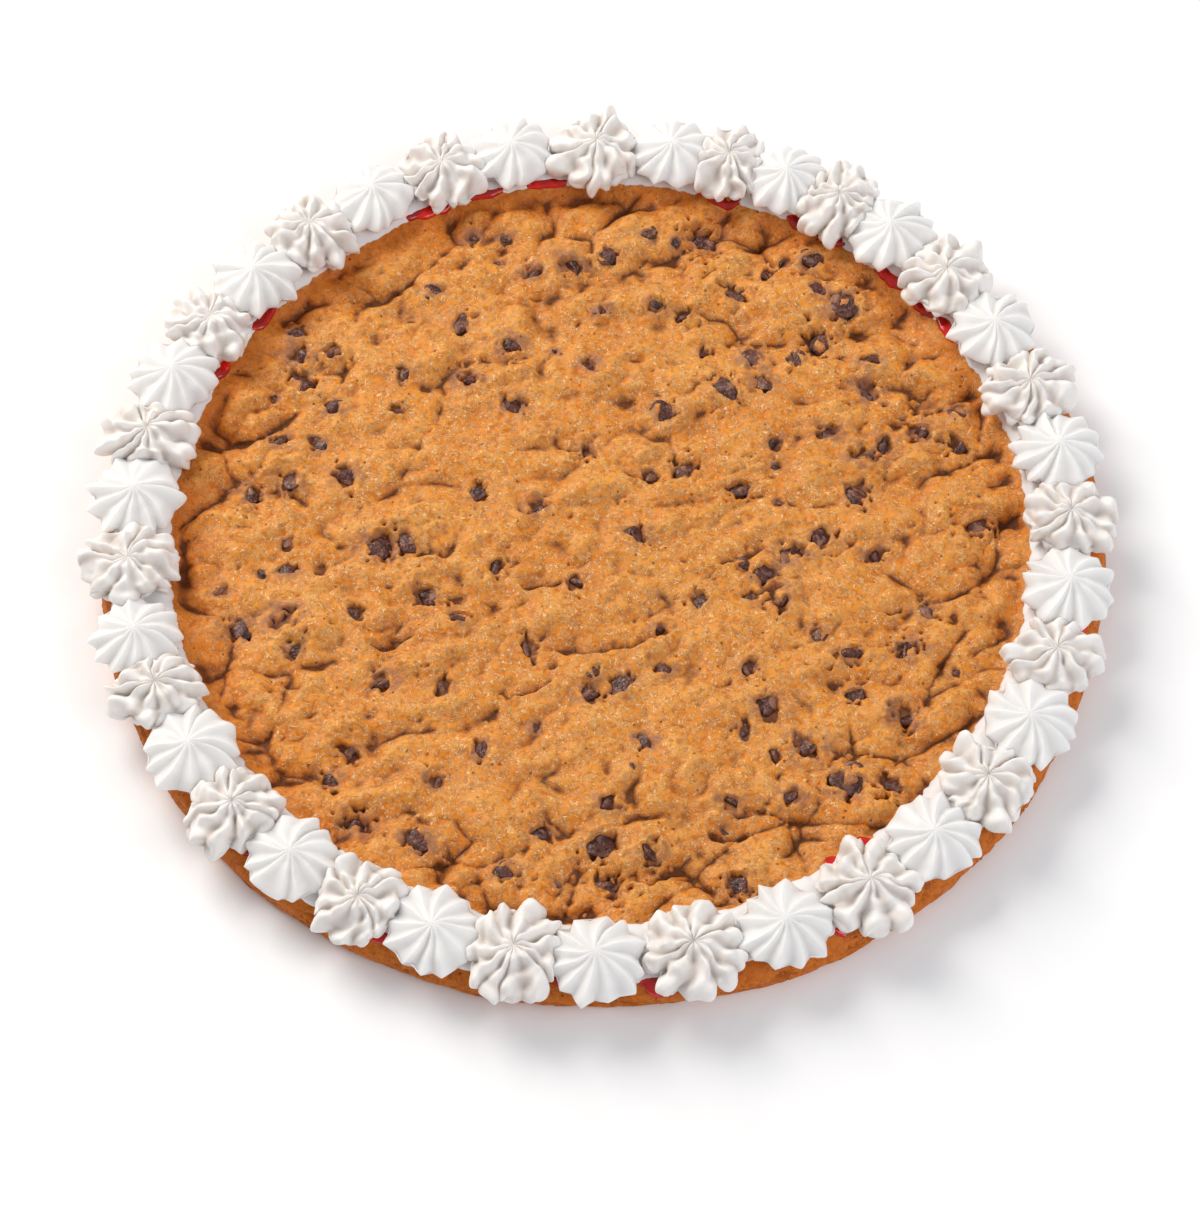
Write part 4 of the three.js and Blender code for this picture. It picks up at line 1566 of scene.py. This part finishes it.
@dataclass
class Border:
    """The ring of rosettes, the band of icing that they stand on, and the gel under it."""

    top: DoughTop
    start_angle: float = 90.6
    # How many rosettes follow each other at which pitch in degrees, counted in the photograph
    stretches: tuple = ((1, 9.9), (4, 7.7), (11, 9.73), (3, 11.1), (7, 9.51), (1, 7.7), (2, 9.85), (4, 8.95),
                        (4, 9.63))
    overlap: float = 4.0
    least_room: float = 11.5
    middle: float = 140.0
    shoulder: float = 144.6
    band_top: float = 11.8
    band_inner: float = 128.2
    band_outer: float = 145.6
    sway: float = 0.9
    smear: float = 2.2
    smear_angle: float = math.radians(-42)
    smear_arc: float = math.radians(20)
    around: int = 1200
    # Where gel shows, as its direction and half its width in degrees, and how far it reaches in millimetres
    gel_inside: tuple = (
        (22.6, 1.6, 2.0), (34.4, 2.6, 1.4), (39.6, 2.4, 1.9), (45.9, 3.0, 1.7), (56.4, 2.4, 2.1),
        (61, 2.4, 1.9), (72.8, 3.2, 2.5), (97.5, 3.4, 1.0), (106, 3.0, 0.9), (113.5, 4.0, 1.6),
        (143, 2.6, 1.4), (153, 2.0, 1.2), (-54, 2.2, 4.0), (-58.5, 1.6, 3.6),
    )
    gel_outside: tuple = (
        (-12, 1.6, 1.2), (-52.8, 1.4, 2.6), (-60.6, 3.2, 2.9), (-83, 2.8, 2.9), (-94, 1.4, 1.6),
        (-113.1, 1.8, 1.8), (-115.4, 1.6, 1.4), (-134.8, 2.0, 1.6), (-145.8, 1.8, 1.6), (-172.7, 1.8, 1.6),
        (177.3, 1.4, 1.2),
    )

    @property
    def directions(self) -> np.ndarray:
        """The angle of each point that goes round the band and the gel."""
        return np.linspace(0, 2 * np.pi, self.around, endpoint=False)

    def angles(self) -> list[float]:
        """Lists where the rosettes stand, clockwise from the back.

        Returns:
            Angles in radians.
        """
        angles = [self.start_angle]
        for count, pitch in self.stretches:
            for _ in range(count):
                angles.append(angles[-1] - pitch)
        return [math.radians(angle) for angle in angles]

    def build(self) -> None:
        """Builds the rosettes, the band and the gel."""
        finishes = {
            Piping.SOFT: WhippedIcing("soft_whipped_icing"),
            Piping.CRISP: WhippedIcing("crisp_whipped_icing", roughness=0.42, crest="#f3f2f0",
                                       grey_and_groove_shade="#e3e1df", ripple=0.07, depth=0.8),
        }
        angles = self.angles()
        for number, angle in enumerate(angles):
            piping = Piping.SOFT if number % 2 == 0 else Piping.CRISP
            neighbours = [angles[(number + step) % len(angles)] for step in (1, -1)]
            room = tuple(self._room(float(angle_between(angle, other))) if piping is Piping.SOFT else math.inf
                         for other in neighbours)
            Rosette(number, angle, piping, room).build(finishes[piping])
        log.info("rosettes: %d", len(angles))
        self._build_gel(FruitGel())
        # The band is painted grey all over, as painted shade for the shade between the rosettes
        self._build_band(WhippedIcing("smeared_icing", crest="#a39f9d", grey_and_groove_shade="#928e8c", ripple=0.3))

    def _room(self, turn: float) -> float:
        """Tells how far a soft rosette can spread towards a crisp one.

        Args:
            turn: The angle between the two, in radians.

        Returns:
            The room in millimetres.
        """
        return max(self.least_room, turn * Rosette.ring_radius - STROKES[Piping.CRISP].radius + self.overlap)

    def _on_dough(self, radius: np.ndarray, angle: np.ndarray) -> np.ndarray:
        """Gives the dough's height under the border, by distance and direction from the centre."""
        return self.top.level(*polar(radius, angle), radius)

    def _ring(self, name: str, rows: list[tuple[np.ndarray, np.ndarray]], finish: Finish) -> bpy.types.Object:
        """Closes rows of points that go round into a ring.

        Args:
            name: The piece's name.
            rows: Radius and height of each row, in the order of its section.
            finish: What it is made of.

        Returns:
            The ring.
        """
        points = np.concatenate([np.stack([*polar(radius, self.directions), height], 1)
                                 for radius, height in rows])
        faces = ring_faces(len(rows) + 1, self.around) % len(points)
        marks = {"valley_shade": np.zeros(len(points))}
        piece = mesh_piece(name, points, faces.tolist(), finish.material(), marks)
        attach(piece, BODY)
        return piece

    def _peep(self, places: tuple) -> np.ndarray:
        """Tells how far the gel reaches in each direction.

        Args:
            places: Where it shows: direction and half width in degrees, and reach in millimetres.

        Returns:
            Millimetres.
        """
        angle = self.directions
        ragged = 1 + 0.3 * Noise(123, 3.5, 2).at(*polar(self.middle, angle))
        shows = []
        for place, half, reach in places:
            away = angle_between(angle, math.radians(place)) / math.radians(0.8 * half) * ragged
            shows.append(reach * np.exp(-(away**4)))
        return np.max(shows, axis=0)

    def _build_gel(self, finish: Finish) -> None:
        """Builds the gel, which peeps out on both sides of the band.

        Args:
            finish: What it is made of.
        """
        angle = self.directions
        wave = Noise(121, 5, 2).at(*polar(self.middle, angle))
        inside, outside = self._peep(self.gel_inside), self._peep(self.gel_outside)
        inner = (self.band_inner + self.sway * np.sin(angle) + 1.2 - 1.1 * inside - 0.4 * (inside > 0.1)
                 + 0.5 * wave)
        outer = self.shoulder + 1.6 * outside + 0.4 * wave
        floor = self.top.margin_height
        low_in = self._on_dough(inner, angle) - 0.3
        high_in = self._on_dough(inner + 0.9, angle) + 0.95
        # Where it runs over the shoulder it follows the side down
        drop = 0.32 * np.maximum(0, outer - self.shoulder) ** 1.6
        rows = [(inner, low_in), (outer - 1.2, floor - 0.6 - drop), (outer, floor - 0.2 - drop),
                (outer + 0.3, floor + 0.35 - drop), (outer - 0.5, floor + 1.0 - 0.8 * drop),
                (np.minimum(outer - 0.9, 145.2), floor + 1.0 - 0.1 * drop), (inner + 2.6, high_in + 0.1),
                (inner + 0.9, high_in), (inner + 0.15, low_in + 0.8)]
        piece = self._ring("gel_line", rows, finish)
        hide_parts("gel_ring")

    def _build_band(self, finish: Finish) -> None:
        """Builds the band, which is spread thin at its inner edge.

        Args:
            finish: What it is made of.
        """
        angle = self.directions
        ragged = Noise(131, 5.0, 3).at(*polar(self.middle, angle))
        lumps = Noise(132, 6.0, 3)
        smear = self.smear * np.exp(-((angle_between(angle, self.smear_angle) / self.smear_arc) ** 2))
        peep_in, peep_out = (np.minimum(self._peep(places), 1.8)
                             for places in (self.gel_inside, self.gel_outside))
        inner = self.band_inner + self.sway * np.sin(angle) - smear + 0.8 * ragged + 1.3 * peep_in
        outer = self.band_outer + 0.9 * np.sin(17 * angle + 1) + 0.4 * ragged - 0.8 * peep_out
        floor = self.top.margin_height
        rows = [(inner + 0.6, self._on_dough(inner + 0.6, angle) - 0.4),
                (outer - 0.6, np.full(angle.shape, floor - 0.4)), (outer, np.full(angle.shape, floor + 0.3))]
        for share in (0.99, 0.96, 0.9, 0.7, 0.45, 0.28, 0.18, 0.11, 0.06, 0.025, 0.0):
            radius = inner + share * (outer - inner)
            rise = smoothstep(share, -0.02, 0.2) * (1 - 0.7 * smoothstep(share, 0.92, 1.01))
            ground = self._on_dough(radius, angle)
            uneven = 0.3 * lumps.at(*polar(radius, angle))
            level = ground + 0.3 + (self.band_top - ground - 0.3) * rise + uneven * (0.35 + rise)
            rows.append((radius, np.maximum(level, ground + 0.12)))
        piece = self._ring("icing_smear", rows, finish)
        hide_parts("icing_band")


@dataclass
class Studio:
    """Plain white floor, soft light from behind on the left, and the camera."""

    floor_size: float = 9.0
    tilt_below_ring: float = math.atan(74.9 / PHOTO_FOCUS)
    key_power: float = 28.5
    fill_power: float = 11.0
    sky: float = 0.41

    def build(self) -> None:
        """Sets up the floor, the lights and the camera."""
        self._floor()
        self._camera()
        world = bpy.data.worlds.new("soft_sky")
        world.use_nodes = True
        background = world.node_tree.nodes["Background"]
        background.inputs["Color"].default_value = linear("#fbfcff")
        background.inputs["Strength"].default_value = self.sky
        bpy.context.scene.world = world
        self._light("key_softbox", Vector((-0.95, 0.95, 1.15)), 1.1, self.key_power, "#fffaf3")
        self._light("fill_softbox", Vector((1.1, -0.7, 1.1)), 1.2, self.fill_power, "#f6f9ff")
        bpy.context.scene.view_settings.view_transform = "Standard"

    def _floor(self) -> None:
        """Lays the floor."""
        half = 1000 * self.floor_size / 2
        points = np.array([[-half, -half, 0], [half, -half, 0], [half, half, 0], [-half, half, 0]], float)
        mesh_piece("studio_floor", points, [[0, 1, 2, 3]], PaperSweep().material())

    def _camera(self) -> None:
        """Places the camera where the photograph was taken from."""
        data = bpy.data.cameras.new("camera")
        data.sensor_width = 36.0
        data.lens = data.sensor_width * PHOTO_FOCUS / PHOTO_LONG_SIDE
        camera = bpy.data.objects.new("camera", data)
        bpy.context.scene.collection.objects.link(camera)
        forward, up = math.cos(PHOTO_ELEVATION), math.sin(PHOTO_ELEVATION)
        camera.location = (0.0, -forward * CAMERA_DISTANCE * MM, (up * CAMERA_DISTANCE + RING_LEVEL) * MM)
        camera.rotation_euler = (math.pi / 2 - PHOTO_ELEVATION - self.tilt_below_ring, 0.0, 0.0)
        bpy.context.scene.camera = camera

    @staticmethod
    def _light(name: str, place: Vector, size: float, power: float, tint: str) -> None:
        """Hangs a soft square light that faces the cookie.

        Args:
            name: The light's name.
            place: Where it hangs, in metres.
            size: Its side, in metres.
            power: Its power in watts.
            tint: Its colour.
        """
        data = bpy.data.lights.new(name, "AREA")
        data.size = size
        data.energy = power
        data.color = linear(tint)[:3]
        light = bpy.data.objects.new(name, data)
        light.location = place
        light.rotation_euler = (-place).to_track_quat("-Z", "Y").to_euler()
        bpy.context.scene.collection.objects.link(light)


def main() -> None:
    """Builds the cookie cake and its studio."""
    logging.basicConfig(level=logging.INFO, format="%(message)s")
    chips = ChipScatter().chips()
    top = DoughTop()
    top.shape(chips)
    Cookie(top).build(BakedDough())
    ChocolateChips(top).build(chips, MilkChocolate())
    Border(top).build()
    Studio().build()
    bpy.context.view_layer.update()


if __name__ == "__main__":
    main()
